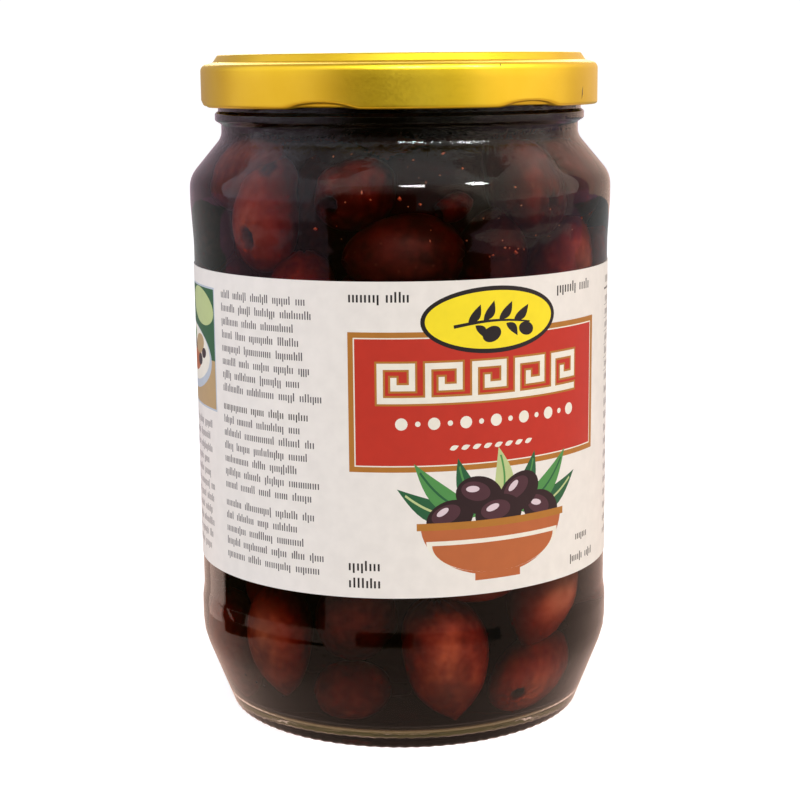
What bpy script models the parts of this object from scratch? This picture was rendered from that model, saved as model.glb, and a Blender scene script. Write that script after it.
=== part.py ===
"""A sealed 720 ml grocery jar of olives in brine: glass jar, twist-off lid, wrap-round label and the heap of olives.

The origin is the centre of the base and +Z points up. The photographed front faces -Y.
Sizes are millimetres here and become metres when a mesh is made.
An azimuth is 0 at the front and grows to the right as seen from the front, so +X is at 90 degrees.
"""

import math

import bmesh
import bpy
import numpy as np

MM = 0.001

# The glass jar.
BODY_RADIUS = 45.0          # label panel
SHOULDER_RADIUS = 45.5      # contact ring over the label panel
HEEL_RADIUS = 45.4          # contact ring under the label panel
BASE_RADIUS = 38.85         # where the heel's taper would meet the ground
HEEL_HEIGHT = 17.1
SHOULDER_HEIGHT = 117.3
NECK_RADIUS = 38.4
NECK_HEIGHT = 125.7
BEAD_RADIUS = 39.7
FINISH_RADIUS = 39.0        # the threaded collar inside the lid
MOUTH_RADIUS = 36.3
RIM_HEIGHT = 142.2
WALL = 2.6
FOOT_INNER_RADIUS = 34.2
PUSH_UP = 3.2
FLOOR_THICKNESS = 3.0
FLOOR_EDGE_RADIUS, FLOOR_EDGE_HEIGHT = 37.4, 3.4
JAR_SEGMENTS = 48
THREAD_STARTS = 6
THREAD_SWEEP = 50.0         # degrees that one thread ridge runs round the collar
THREAD_TOP, THREAD_BOTTOM = 137.5, 132.6
THREAD_RADIUS = 40.8
THREAD_HALF_HEIGHT = 0.75

# The twist-off lid.
LID_RADIUS = 42.5
LID_TOP = 142.9
LID_BOTTOM = 132.1
SHEET = 0.35                # tinplate with its lacquer
RING_INNER, RING_OUTER = 35.0, 38.8
LEDGE_RADIUS = 39.9
PANEL_HEIGHT = 141.7
BUTTON_RADIUS = 15.0
BUTTON_DIP = 0.5
CURL_INNER = 41.2
CURL_TOP = 133.6
LUG_AZIMUTH = -21.5
LUG_WIDTH = 22.0            # degrees
LUG_DEPTH = 1.0
LID_SEGMENTS = 48

# The label.
LABEL_BOTTOM, LABEL_TOP = 34.7, 99.0
LABEL_GAP = 0.2
LABEL_THICKNESS = 0.2
LABEL_ENDS_APART = 15.0     # degrees of bare glass at the back
LABEL_SEGMENTS = 46

# The olives.
OLIVE_COUNT = 135           # with the clear spots
OLIVE_LENGTH = (21.0, 25.5)
OLIVE_SLIMNESS = (0.62, 0.69)   # width over length
SEED = 29
FILL_TOP = 125.0
SETTLE_STEPS = 160
SINK = 0.06                 # how far the heap sinks in the first step
GLASS_CLEARANCE = 0.45
CORE_RADIUS = 31.0
CORE_BEHIND_LABEL = 38.0
OLIVE_SIDES, OLIVE_RINGS = 10, 6

# Olives that lie at the front glass, as in the photo: azimuth, height, lean of the tip end from straight up
# (clockwise, seen from the front), turn of the stem end towards the front, length, width, gap to the glass.
FRONT_OLIVES = [
    (-82, 109, 178, 0, 23, 15, 0),
    (-60, 120, 60, 0, 20, 13.5, 0),
    (-47.5, 110, 12, 22, 21.8, 14, 0),
    (-33, 93.5, 185, -20, 23, 14, 0),
    (-14.5, 114.3, 80, 40, 16.5, 12, 3.5),
    (1.5, 103, 268, -15, 24, 17, 0),
    (17.5, 112.5, 70, 0, 8, 5, 7),
    (31, 101, 10, 0, 23, 15, 3.0),
    (46, 116.8, 325, 32, 20.5, 15.5, 0.5),
    (60.5, 99.5, 28, 0, 23, 15.5, 0),
    (68, 116.5, 100, 0, 22, 14.5, 0),
    (-43.5, 21.8, 177, 0, 24, 13.8, 0),
    (-71, 17, 168, 0, 23, 15, 0),
    (-17, 27.5, 8, -35, 23, 15.5, 0.8),
    (-19, 12, 75, 0, 16, 11.5, 3.5),
    (13.8, 19.4, 171, 0, 27.5, 16.5, 0),
    (25, 38.5, 95, 0, 23, 15.5, 0),
    (51, 29.8, 202, 0, 25, 15, 0),
    (49, 13.6, 62, 20, 23, 13.5, 0),
]
# Three places near the front glass where only brine shows. Each holds the room of an olive that isn't there.
CLEAR_SPOTS = [
    (16, 118.5, 80, 0, 25, 16, 0),
    (18, 111.5, 85, 0, 20, 8, 0),
    (-24, 108.5, 5, 0, 23, 13.5, 0),
]


def placed(azimuth, radius, height):
    """The point at this azimuth in degrees, distance from the jar's axis and height."""
    a = math.radians(azimuth)
    return np.array([radius * math.sin(a), -radius * math.cos(a), height])


def rounded_outline(corners, steps):
    """Points along straight runs between (radius, height, fillet) corners, each corner rounded by its fillet."""
    points = [np.array(corners[0][:2], float)]
    for before, (r, z, fillet), after in zip(corners, corners[1:], corners[2:]):
        corner = np.array([r, z], float)
        to_last = np.array(before[:2], float) - corner
        to_next = np.array(after[:2], float) - corner
        room = 0.49 * min(np.linalg.norm(to_last), np.linalg.norm(to_next))
        to_last /= np.linalg.norm(to_last)
        to_next /= np.linalg.norm(to_next)
        half = 0.5 * math.acos(max(-1.0, min(1.0, float(to_last @ to_next))))
        if fillet <= 0 or half > math.radians(89):
            points.append(corner)
            continue
        reach = min(fillet / math.tan(half), room)
        radius = reach * math.tan(half)
        middle = to_last + to_next
        centre = corner + middle / np.linalg.norm(middle) * (radius / math.sin(half))
        start = corner + to_last * reach - centre
        turn = math.pi - 2 * half
        if to_last[0] * to_next[1] - to_last[1] * to_next[0] > 0:
            turn = -turn
        count = max(1, round(steps * abs(turn) / (math.pi / 2)))
        for i in range(count + 1):
            a = turn * i / count
            c, s = math.cos(a), math.sin(a)
            points.append(centre + np.array([c * start[0] - s * start[1], s * start[0] + c * start[1]]))
    points.append(np.array(corners[-1][:2], float))
    return points


def material(name, colour, roughness, metallic=0.0, transmission=0.0):
    made = bpy.data.materials.new(name)
    made.use_nodes = True
    shader = made.node_tree.nodes["Principled BSDF"]
    shader.inputs["Base Color"].default_value = (*colour, 1.0)
    shader.inputs["Roughness"].default_value = roughness
    shader.inputs["Metallic"].default_value = metallic
    shader.inputs["Transmission Weight"].default_value = transmission
    return made


def new_object(name, mesh_builder, finish):
    """A linked object whose mesh is the bmesh, scaled from millimetres to metres and facing out."""
    bmesh.ops.recalc_face_normals(mesh_builder, faces=mesh_builder.faces)
    bmesh.ops.scale(mesh_builder, vec=(MM, MM, MM), verts=mesh_builder.verts)
    mesh = bpy.data.meshes.new(name)
    mesh_builder.to_mesh(mesh)
    mesh_builder.free()
    mesh.shade_smooth()
    mesh.set_sharp_from_angle(angle=math.radians(35))
    made = bpy.data.objects.new(name, mesh)
    made.data.materials.append(finish)
    bpy.context.scene.collection.objects.link(made)
    return made


def revolved(outline, segments, shift=None):
    """A closed bmesh: the outline, which starts and ends on the axis, turned round it. shift may move a point."""
    builder = bmesh.new()
    first, last = outline[0], outline[-1]
    start = builder.verts.new((0, 0, first[1]))
    end = builder.verts.new((0, 0, last[1]))
    rings = []
    for r, z in outline[1:-1]:
        ring = []
        for i in range(segments):
            azimuth = 360.0 * i / segments
            point = placed(azimuth, r, z) if shift is None else placed(azimuth, *shift(azimuth, r, z))
            ring.append(builder.verts.new(point))
        rings.append(ring)
    for i in range(segments):
        j = (i + 1) % segments
        builder.faces.new((start, rings[0][i], rings[0][j]))
        builder.faces.new((end, rings[-1][j], rings[-1][i]))
        for lower, upper in zip(rings, rings[1:]):
            builder.faces.new((lower[i], upper[i], upper[j], lower[j]))
    return builder


def glass_outer_corners():
    return [
        (0, PUSH_UP, 0),
        (FOOT_INNER_RADIUS - 4, PUSH_UP - 1.2, 4),
        (FOOT_INNER_RADIUS, 0, 0.8),
        (BASE_RADIUS, 0, 2.0),
        (HEEL_RADIUS, HEEL_HEIGHT, 14),
        (HEEL_RADIUS, 24.3, 0),
        (BODY_RADIUS, 27.3, 0),
        (BODY_RADIUS, 103.5, 0),
        (SHOULDER_RADIUS, 112, 0),
        (SHOULDER_RADIUS, SHOULDER_HEIGHT, 5),
        (NECK_RADIUS, NECK_HEIGHT, 3.5),
        (NECK_RADIUS, 128.4, 0),
        (BEAD_RADIUS, 129.2, 0),
        (BEAD_RADIUS, 130.7, 0),
        (FINISH_RADIUS, 131.2, 0),
        (FINISH_RADIUS, RIM_HEIGHT, 1.3),
    ]


def glass_inner_corners():
    """From the mouth down to the middle of the floor. The wall keeps its thickness round the shoulder and the heel."""
    return [
        (MOUTH_RADIUS, RIM_HEIGHT, 1.3),
        (MOUTH_RADIUS - 0.2, NECK_HEIGHT - 1.0, 5),
        (BODY_RADIUS - WALL, SHOULDER_HEIGHT - 1.6, 5),
        (BODY_RADIUS - WALL, HEEL_HEIGHT + 1.5, 14),
        (FLOOR_EDGE_RADIUS, FLOOR_EDGE_HEIGHT, 4),
        (0, PUSH_UP + FLOOR_THICKNESS, 0),
    ]


def inner_radius(height):
    """The glass's inside radius at a height above the floor, read from its outline."""
    outline = [p for p in rounded_outline(glass_inner_corners(), 6)][:-1]
    heights = np.array([p[1] for p in outline][::-1])
    radii = np.array([p[0] for p in outline][::-1])
    return np.interp(height, heights, radii)


def floor_height(radius):
    """The height of the domed glass floor at a distance from the axis."""
    middle = PUSH_UP + FLOOR_THICKNESS
    return middle - (middle - FLOOR_EDGE_HEIGHT) * np.minimum(radius / FLOOR_EDGE_RADIUS, 1.0)


def thread_ridge(azimuth):
    """One raised thread, which runs down clockwise from this azimuth and fades into the collar at both ends."""
    steps = 5
    builder = bmesh.new()
    sections = []
    for i in range(steps + 1):
        share = i / steps
        z = THREAD_TOP + (THREAD_BOTTOM - THREAD_TOP) * share
        fade = min(1.0, 3.5 * min(share, 1 - share) + 0.12)
        crest = FINISH_RADIUS + (THREAD_RADIUS - FINISH_RADIUS) * fade
        a = azimuth - THREAD_SWEEP * share
        root = FINISH_RADIUS - 0.8
        section = [
            (root, z - THREAD_HALF_HEIGHT * 1.3),
            (crest, z - THREAD_HALF_HEIGHT * 0.45),
            (crest, z + THREAD_HALF_HEIGHT * 0.45),
            (root, z + THREAD_HALF_HEIGHT * 1.3),
        ]
        sections.append([builder.verts.new(placed(a, r, h)) for r, h in section])
    for one, two in zip(sections, sections[1:]):
        for k in range(4):
            builder.faces.new((one[k], one[(k + 1) % 4], two[(k + 1) % 4], two[k]))
    builder.faces.new(sections[0])
    builder.faces.new(sections[-1][::-1])
    return builder


def joined(base, extras, solver):
    """Unites the extra objects with base by one Boolean on their collection, applies it and removes them."""
    group = bpy.data.collections.new(base.name + "_joined")
    for extra in extras:
        bpy.context.scene.collection.objects.unlink(extra)
        group.objects.link(extra)
    union = base.modifiers.new("union", "BOOLEAN")
    union.operation = "UNION"
    union.operand_type = "COLLECTION"
    union.collection = group
    union.solver = solver
    bpy.context.view_layer.update()
    graph = bpy.context.evaluated_depsgraph_get()
    mesh = bpy.data.meshes.new_from_object(base.evaluated_get(graph))
    base.modifiers.remove(union)
    base.data = mesh
    for extra in extras:
        bpy.data.objects.remove(extra)
    bpy.data.collections.remove(group)
    return base


def make_glass_jar(finish):
    outline = rounded_outline(glass_outer_corners() + glass_inner_corners(), 3)
    jar = new_object("glass_jar", revolved(outline, JAR_SEGMENTS), finish)
    first = LUG_AZIMUTH + 18.0
    ridges = [
        new_object(f"thread_{i}", thread_ridge(first + i * 360.0 / THREAD_STARTS), finish)
        for i in range(THREAD_STARTS)
    ]
    return joined(jar, ridges, "EXACT")


def lug_share(azimuth):
    """1 in the middle of a lug, 0 away from it, with smooth flanks."""
    pitch = 360.0 / THREAD_STARTS
    away = abs((azimuth - LUG_AZIMUTH + pitch / 2) % pitch - pitch / 2)
    x = max(0.0, 1.0 - away / (LUG_WIDTH / 2))
    return x * x * (3 - 2 * x)


def make_lid(finish):
    """The lid's sheet: its top and skirt outside, the rolled curl at its lower edge, and back up inside."""
    outside = [
        (0, PANEL_HEIGHT - BUTTON_DIP, 0),
        (BUTTON_RADIUS - 0.7, PANEL_HEIGHT - BUTTON_DIP, 0),
        (BUTTON_RADIUS, PANEL_HEIGHT, 0),
        (RING_INNER - 1.2, PANEL_HEIGHT, 0),
        (RING_INNER, LID_TOP, 0),
        (RING_OUTER, LID_TOP, 0.6),
        (LEDGE_RADIUS, LID_TOP - 1.6, 0),
        (LID_RADIUS, LID_TOP - 2.2, 1.4),
        (LID_RADIUS, CURL_TOP + 0.6, 0),
        (LID_RADIUS, LID_BOTTOM, 0.5),
        (CURL_INNER, LID_BOTTOM, 0.5),
        (CURL_INNER, CURL_TOP, 0),
        (LID_RADIUS - SHEET, CURL_TOP + 0.1, 0),
    ]
    inside = [
        (LID_RADIUS - SHEET, LID_TOP - 2.2 - SHEET, 1.2),
        (LEDGE_RADIUS - 0.2, LID_TOP - 1.6 - SHEET, 0),
        (RING_OUTER - 0.3, LID_TOP - SHEET, 0),
        (RING_INNER + 0.2, LID_TOP - SHEET, 0),
        (RING_INNER - 1.0, PANEL_HEIGHT - SHEET, 0),
        (BUTTON_RADIUS + 0.1, PANEL_HEIGHT - SHEET, 0),
        (BUTTON_RADIUS - 0.6, PANEL_HEIGHT - BUTTON_DIP - SHEET, 0),
        (0, PANEL_HEIGHT - BUTTON_DIP - SHEET, 0),
    ]

    def pressed(azimuth, r, z):
        near_curl = max(0.0, min(1.0, (CURL_TOP + 0.7 - z) / 0.9))
        push = LUG_DEPTH * lug_share(azimuth) * near_curl
        return r - push, z + 0.3 * push

    outline = rounded_outline(outside + inside, 2)
    return new_object("lid", revolved(outline, LID_SEGMENTS, pressed), finish)


def make_label(finish):
    """A thin wrap-round sheet, whose two ends leave a strip of bare glass at the back."""
    inner = BODY_RADIUS + LABEL_GAP
    outer = inner + LABEL_THICKNESS
    section = [(inner, LABEL_BOTTOM), (outer, LABEL_BOTTOM), (outer, LABEL_TOP), (inner, LABEL_TOP)]
    start = -180 + LABEL_ENDS_APART / 2
    sweep = 360 - LABEL_ENDS_APART
    builder = bmesh.new()
    rows = []
    for i in range(LABEL_SEGMENTS + 1):
        azimuth = start + sweep * i / LABEL_SEGMENTS
        rows.append([builder.verts.new(placed(azimuth, r, z)) for r, z in section])
    for one, two in zip(rows, rows[1:]):
        for k in range(4):
            builder.faces.new((one[k], two[k], two[(k + 1) % 4], one[(k + 1) % 4]))
    builder.faces.new(rows[0])
    builder.faces.new(rows[-1][::-1])
    return new_object("label", builder, finish)


def front_axis(azimuth, lean, turn):
    """The unit vector from an olive's stem end to its tip."""
    a, b, c = math.radians(azimuth), math.radians(lean), math.radians(turn)
    along = np.array([math.cos(a) * math.sin(b), math.sin(a) * math.sin(b), math.cos(b)])
    return along * math.cos(c) + np.array([0.0, math.sin(c), 0.0])


def settle_olives():
    """Where every olive lies: (middles, axes from stem end to tip, lengths, widths).

    Each olive is three balls on a stick. The balls push each other and the glass away, a little at a time, while
    the heap sinks. The olives of the photo's front stay put and yield only to the glass.
    """
    rng = np.random.default_rng(SEED)
    fixed = len(FRONT_OLIVES) + len(CLEAR_SPOTS)
    length = rng.uniform(*OLIVE_LENGTH, OLIVE_COUNT)
    width = length * rng.uniform(*OLIVE_SLIMNESS, OLIVE_COUNT)
    axis = rng.normal(size=(OLIVE_COUNT, 3))
    around = rng.uniform(0, 360, OLIVE_COUNT)
    out = 34.0 * np.sqrt(rng.uniform(0, 1, OLIVE_COUNT))
    up = np.linspace(14.0, FILL_TOP - 6.0, OLIVE_COUNT)
    middle = np.array([placed(a, r, z) for a, r, z in zip(around, out, up)])
    for i, (azimuth, height, lean, turn, long, wide, gap) in enumerate(FRONT_OLIVES + CLEAR_SPOTS):
        depth = gap + 0.5 * (wide + (long - wide) * abs(math.sin(math.radians(turn))))
        middle[i] = placed(azimuth, inner_radius(height) - depth, height)
        axis[i] = front_axis(azimuth, lean, turn)
        length[i], width[i] = long, wide
    axis /= np.linalg.norm(axis, axis=1)[:, None]
    ball = np.stack([0.345 * width, 0.5 * width, 0.345 * width], axis=1)
    arm = 0.5 * length - ball[:, 0]
    same = np.repeat(np.arange(OLIVE_COUNT), 3)
    apart = same[:, None] != same[None, :]
    reach = ball.ravel()[:, None] + ball.ravel()[None, :]
    free = np.ones(OLIVE_COUNT)
    free[:fixed] = 0.0
    for step in range(SETTLE_STEPS):
        middle[:, 2] -= SINK * (1 - step / SETTLE_STEPS) * free
        spots = middle[:, None, :] + axis[:, None, :] * arm[:, None, None] * np.array([-1.0, 0.0, 1.0])[:, None]
        flat = spots.reshape(-1, 3)
        between = flat[:, None, :] - flat[None, :, :]
        gap = np.sqrt((between**2).sum(axis=2)) + 1e-9
        overlap = np.where(apart, np.maximum(reach - gap, 0.0), 0.0)
        share = np.where(free[same] > 0, 0.28, 0.0)[:, None] * overlap / gap
        push = (share[:, :, None] * between).sum(axis=1).reshape(OLIVE_COUNT, 3, 3)
        spots = spots + push
        rho = np.sqrt(spots[:, :, 0] ** 2 + spots[:, :, 1] ** 2) + 1e-9
        most = inner_radius(spots[:, :, 2]) - GLASS_CLEARANCE - ball
        inwards = np.minimum(most / rho, 1.0)
        spots[:, :, 0] *= inwards
        spots[:, :, 1] *= inwards
        lowest = floor_height(rho * inwards) + GLASS_CLEARANCE + ball
        spots[:, :, 2] = np.clip(spots[:, :, 2], lowest, FILL_TOP - ball)
        middle = spots.mean(axis=1)
        axis = spots[:, 2] - spots[:, 0]
        axis /= np.linalg.norm(axis, axis=1)[:, None]
    kept = np.r_[0 : len(FRONT_OLIVES), fixed:OLIVE_COUNT]
    return np.round(middle, 2)[kept], np.round(axis, 3)[kept], length[kept], width[kept]


def olive_point(share, around, length, width):
    """A point of an olive's skin: share runs from 0 at the stem end to 1 at the tip, which is drawn to a point."""
    a = math.pi * share
    x = -math.cos(a)
    swell = math.sin(a) ** (1.0 + 0.6 * max(x, 0.0)) * (1.0 - 0.08 * x)
    radius = 0.5 * width * swell
    bend = 0.05 * length * x * x
    return np.array([radius * math.cos(around) + bend, radius * math.sin(around), 0.5 * length * x])


def olive_mesh(middle, axis, length, width):
    """One olive, pressed flat wherever it would reach into the glass."""
    side = np.cross(axis, [0.3, 0.2, 0.93])
    side /= np.linalg.norm(side)
    turned = np.array([side, np.cross(axis, side), axis])
    builder = bmesh.new()

    def skin(share, around):
        x, y, z = (olive_point(share, around, length, width)[:, None] * turned).sum(axis=0) + middle
        rho = math.hypot(x, y)
        z = min(max(z, float(floor_height(rho)) + GLASS_CLEARANCE), FILL_TOP + 2.0)
        most = (float(inner_radius(z)) - GLASS_CLEARANCE) * math.cos(math.pi / JAR_SEGMENTS)
        inwards = min(1.0, most / max(rho, 1e-9))
        return builder.verts.new((x * inwards, y * inwards, z))

    ends = skin(0.0, 0.0), skin(1.0, 0.0)
    rings = [
        [skin(k / OLIVE_RINGS, 2 * math.pi * i / OLIVE_SIDES) for i in range(OLIVE_SIDES)]
        for k in range(1, OLIVE_RINGS)
    ]
    for i in range(OLIVE_SIDES):
        j = (i + 1) % OLIVE_SIDES
        builder.faces.new((ends[0], rings[0][j], rings[0][i]))
        builder.faces.new((ends[1], rings[-1][i], rings[-1][j]))
        for lower, upper in zip(rings, rings[1:]):
            builder.faces.new((lower[i], lower[j], upper[j], upper[i]))
    return builder


def shows(middle, width):
    """True for an olive that lies against the glass where the label leaves it bare."""
    rho = math.hypot(middle[0], middle[1])
    at_glass = rho + 0.5 * width > inner_radius(middle[2]) - 7.0
    at_back = middle[1] > 0 and abs(math.degrees(math.atan2(middle[0], middle[1]))) < LABEL_ENDS_APART
    over_or_under = middle[2] > LABEL_TOP - 9.0 or middle[2] < LABEL_BOTTOM + 7.0
    return at_glass and (over_or_under or at_back)


def keep_largest_shell(made):
    """Drops sealed hollows and loose scraps, so that one closed body is left."""
    builder = bmesh.new()
    builder.from_mesh(made.data)
    seen, shells = set(), []
    for start in builder.faces:
        if start in seen:
            continue
        seen.add(start)
        shell, waiting = [], [start]
        while waiting:
            face = waiting.pop()
            shell.append(face)
            for edge in face.edges:
                for other in edge.link_faces:
                    if other not in seen:
                        seen.add(other)
                        waiting.append(other)
        shells.append(shell)
    largest = max(shells, key=len)
    scraps = [face for shell in shells if shell is not largest for face in shell]
    bmesh.ops.delete(builder, geom=scraps, context="FACES")
    bmesh.ops.triangulate(builder, faces=builder.faces)
    builder.to_mesh(made.data)
    builder.free()


def make_olives(finish):
    """The heap: a core with the olives that show fused on."""
    low, high = FLOOR_THICKNESS + PUSH_UP + 3.0, FILL_TOP - 9.0
    core_outline = rounded_outline(
        [
            (0, low, 0),
            (CORE_RADIUS, low, 6),
            (CORE_RADIUS, LABEL_BOTTOM, 3),
            (CORE_BEHIND_LABEL, LABEL_BOTTOM + 6, 3),
            (CORE_BEHIND_LABEL, LABEL_TOP - 6, 3),
            (CORE_RADIUS, LABEL_TOP, 3),
            (CORE_RADIUS, high - 6, 6),
            (0, high, 0),
        ],
        3,
    )
    core = new_object("olives", revolved(core_outline, JAR_SEGMENTS // 2), finish)
    pieces = []
    for number, (middle, axis, length, width) in enumerate(zip(*settle_olives())):
        if shows(middle, width):
            pieces.append(new_object(f"olive_{number}", olive_mesh(middle, axis, length, width), finish))
    print("olives fused on the core:", len(pieces))
    joined(core, pieces, "EXACT")
    keep_largest_shell(core)
    core.data.materials.clear()
    core.data.materials.append(finish)
    core.data.shade_smooth()
    core.data.set_sharp_from_angle(angle=math.radians(50))
    return core


for old in list(bpy.data.objects):
    bpy.data.objects.remove(old, do_unlink=True)

make_glass_jar(material("clear_glass", (0.95, 0.97, 0.96), 0.03, transmission=1.0))
make_lid(material("gold_lacquered_tinplate", (0.80, 0.58, 0.12), 0.32, metallic=1.0))
make_label(material("label_paper", (0.90, 0.87, 0.81), 0.55))
make_olives(material("olive_skin", (0.13, 0.035, 0.022), 0.35))
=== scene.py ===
# %% [markdown]
# # A jar of dark pitted olives
#
# The real object is a 720 ml glass jar, packed with whole pitted olives in their brine, shut by a gold
# twist-off lid and wrapped in a printed paper label. This lesson dresses its plain engineering model for a
# picture: the glass gets its curves, the brine its colour and depth, each olive its own skin, and the label
# its print.
#
# The imported model comes first, as a fixed frame that every piece has to fit.

import math

import bmesh
import bpy
import numpy as np
from mathutils import Matrix, Vector
from mathutils.geometry import delaunay_2d_cdt


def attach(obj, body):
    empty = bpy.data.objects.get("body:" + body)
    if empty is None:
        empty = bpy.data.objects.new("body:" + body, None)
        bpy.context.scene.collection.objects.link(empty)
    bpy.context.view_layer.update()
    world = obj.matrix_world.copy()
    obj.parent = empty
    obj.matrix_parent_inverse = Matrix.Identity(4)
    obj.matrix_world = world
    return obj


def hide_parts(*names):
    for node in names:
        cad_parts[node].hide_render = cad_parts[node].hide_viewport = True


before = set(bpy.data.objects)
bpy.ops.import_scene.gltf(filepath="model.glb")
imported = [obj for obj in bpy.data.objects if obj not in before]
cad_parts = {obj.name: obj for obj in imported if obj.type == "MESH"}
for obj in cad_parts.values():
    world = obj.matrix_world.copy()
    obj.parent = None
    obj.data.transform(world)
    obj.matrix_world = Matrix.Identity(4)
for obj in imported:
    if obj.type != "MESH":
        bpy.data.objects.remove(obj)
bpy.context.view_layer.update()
print("frame nodes:", sorted(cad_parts))

# %% [markdown]
# ## Helpers for colour and shader nodes
#
# A colour picked from a real thing is an sRGB value, but a shader works in linear light, so one function turns
# the hex value of each colour into linear numbers. A second one adds a shader node together with its settings
# and links. It does for every kind of node, because a socket that is given another node's output is linked and
# one that is given a number is set. The rest are shorthands for what several materials need.

# %% Colour and node helpers
MM = 0.001


def linear(hex_colour):
    """An sRGB hex colour as linear red, green, blue and an alpha of 1."""
    shares = [int(hex_colour[i : i + 2], 16) / 255 for i in (1, 3, 5)]
    return tuple(s / 12.92 if s <= 0.04045 else ((s + 0.055) / 1.055) ** 2.4 for s in shares) + (1.0,)


def add_node(tree, kind, inputs=None, stops=None, **settings):
    """Adds a shader node. inputs sets or links its sockets, and stops are the places and colours of a ramp."""
    made = tree.nodes.new(kind)
    for name, value in settings.items():
        setattr(made, name, value)
    for name, value in (inputs or {}).items():
        if isinstance(value, bpy.types.NodeSocket):
            tree.links.new(value, made.inputs[name])
        else:
            made.inputs[name].default_value = value
    if stops:
        ramp = made.color_ramp
        while len(ramp.elements) < len(stops):
            ramp.elements.new(1.0)
        for element, (place, colour) in zip(ramp.elements, stops):
            element.position = place
            element.color = linear(colour)
    return made


def new_material(name):
    """An empty node material and its node tree with a Material Output, as (material, tree, output)."""
    made = bpy.data.materials.new(name)
    made.use_nodes = True
    made.node_tree.nodes.clear()
    output = made.node_tree.nodes.new("ShaderNodeOutputMaterial")
    return made, made.node_tree, output


def mixed(tree, share, one, two):
    """Mixes two shaders, all of the first where share is 0 and all of the second where it is 1."""
    return add_node(tree, "ShaderNodeMixShader", {0: share, 1: one, 2: two}).outputs["Shader"]


def spread(tree, noise, low, high):
    """A number that drifts from low to high with a noise, most of whose values lie between 0.3 and 0.7."""
    limits = {"Value": noise, "From Min": 0.3, "From Max": 0.7, "To Min": low, "To Max": high}
    return add_node(tree, "ShaderNodeMapRange", limits).outputs["Result"]


def plain_material(name, colour, roughness, shine=0.5):
    """A material of one colour and roughness. shine is its Specular IOR Level."""
    made, tree, output = new_material(name)
    settings = {"Base Color": linear(colour), "Roughness": roughness, "Specular IOR Level": shine}
    bsdf = add_node(tree, "ShaderNodeBsdfPrincipled", settings)
    tree.links.new(bsdf.outputs["BSDF"], output.inputs["Surface"])
    return made


print("white paper in linear light:", [round(c, 3) for c in linear("#f4efe6")[:3]])

# %% [markdown]
# ## The jar's measurements
#
# A twist-off jar is blown in a mould, so it is a turned shape: one outline spun round an axis. The sizes below
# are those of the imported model, in millimetres, because a tape measure is easier to picture than metres. The
# outline is written as a few corners, each with the radius of its fillet, and a function rounds them.

# %% Measurements and outline helpers
BODY_RADIUS = 45.0
SHOULDER_RADIUS = 45.5
HEEL_RADIUS = 45.4
BASE_RADIUS = 38.85
HEEL_HEIGHT = 17.1
SHOULDER_HEIGHT = 117.3
NECK_RADIUS = 38.4
NECK_HEIGHT = 125.7
BEAD_RADIUS = 39.7
FINISH_RADIUS = 39.0
MOUTH_RADIUS = 36.3
RIM_HEIGHT = 142.2
WALL = 2.6
FOOT_INNER_RADIUS = 34.2
PUSH_UP = 3.2
FLOOR_THICKNESS = 3.0
FLOOR_EDGE_RADIUS, FLOOR_EDGE_HEIGHT = 37.4, 3.4
BRINE_LEVEL = 135.5


def placed(azimuth, radius, height):
    """The point at an azimuth (in degrees, 0 at the front and growing to the right), a radius and a height."""
    a = math.radians(azimuth)
    return np.array([radius * math.sin(a), -radius * math.cos(a), height])


def rounded_outline(corners, steps):
    """Points along runs between (radius, height, fillet) corners, each corner rounded by its fillet."""
    points = [np.array(corners[0][:2], float)]
    for before, (r, z, fillet), after in zip(corners, corners[1:], corners[2:]):
        corner = np.array([r, z], float)
        to_last = np.array(before[:2], float) - corner
        to_next = np.array(after[:2], float) - corner
        room = 0.49 * min(np.linalg.norm(to_last), np.linalg.norm(to_next))
        to_last /= np.linalg.norm(to_last)
        to_next /= np.linalg.norm(to_next)
        half = 0.5 * math.acos(max(-1.0, min(1.0, float(to_last @ to_next))))
        if fillet <= 0 or half > math.radians(89.5):
            points.append(corner)
            continue
        reach = min(fillet / math.tan(half), room)
        radius = reach * math.tan(half)
        middle = to_last + to_next
        centre = corner + middle / np.linalg.norm(middle) * (radius / math.sin(half))
        start = corner + to_last * reach - centre
        turn = math.pi - 2 * half
        if to_last[0] * to_next[1] - to_last[1] * to_next[0] > 0:
            turn = -turn
        count = max(2, round(steps * abs(turn) / (math.pi / 2)))
        for i in range(count + 1):
            a = turn * i / count
            c, s = math.cos(a), math.sin(a)
            points.append(centre + np.array([c * start[0] - s * start[1], s * start[0] + c * start[1]]))
    points.append(np.array(corners[-1][:2], float))
    return points


def spaced(outline, longest, low=-1e9, high=1e9):
    """The outline with its long runs divided, between two heights, so that no step is longer than longest."""
    points = [outline[0]]
    for one, two in zip(outline, outline[1:]):
        inside = low <= min(one[1], two[1]) and max(one[1], two[1]) <= high
        parts = max(1, math.ceil(np.linalg.norm(two - one) / longest)) if inside else 1
        for k in range(1, parts + 1):
            points.append(one + (two - one) * k / parts)
    return points


def smooth_step(x):
    """0 below 0, 1 above 1 and a smooth rise between."""
    x = min(1.0, max(0.0, x))
    return x * x * (3 - 2 * x)


def finished(name, builder, materials, replaced=()):
    """Turns a millimetre bmesh into a smooth-shaded piece in metres that rides on the jar's body."""
    bmesh.ops.scale(builder, vec=(MM, MM, MM), verts=builder.verts)
    mesh = bpy.data.meshes.new(name)
    builder.to_mesh(mesh)
    builder.free()
    mesh.shade_smooth()
    piece = bpy.data.objects.new(name, mesh)
    for material in materials:
        mesh.materials.append(material)
    bpy.context.scene.collection.objects.link(piece)
    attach(piece, "root")
    if replaced:
        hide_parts(*replaced)
    return piece


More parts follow.
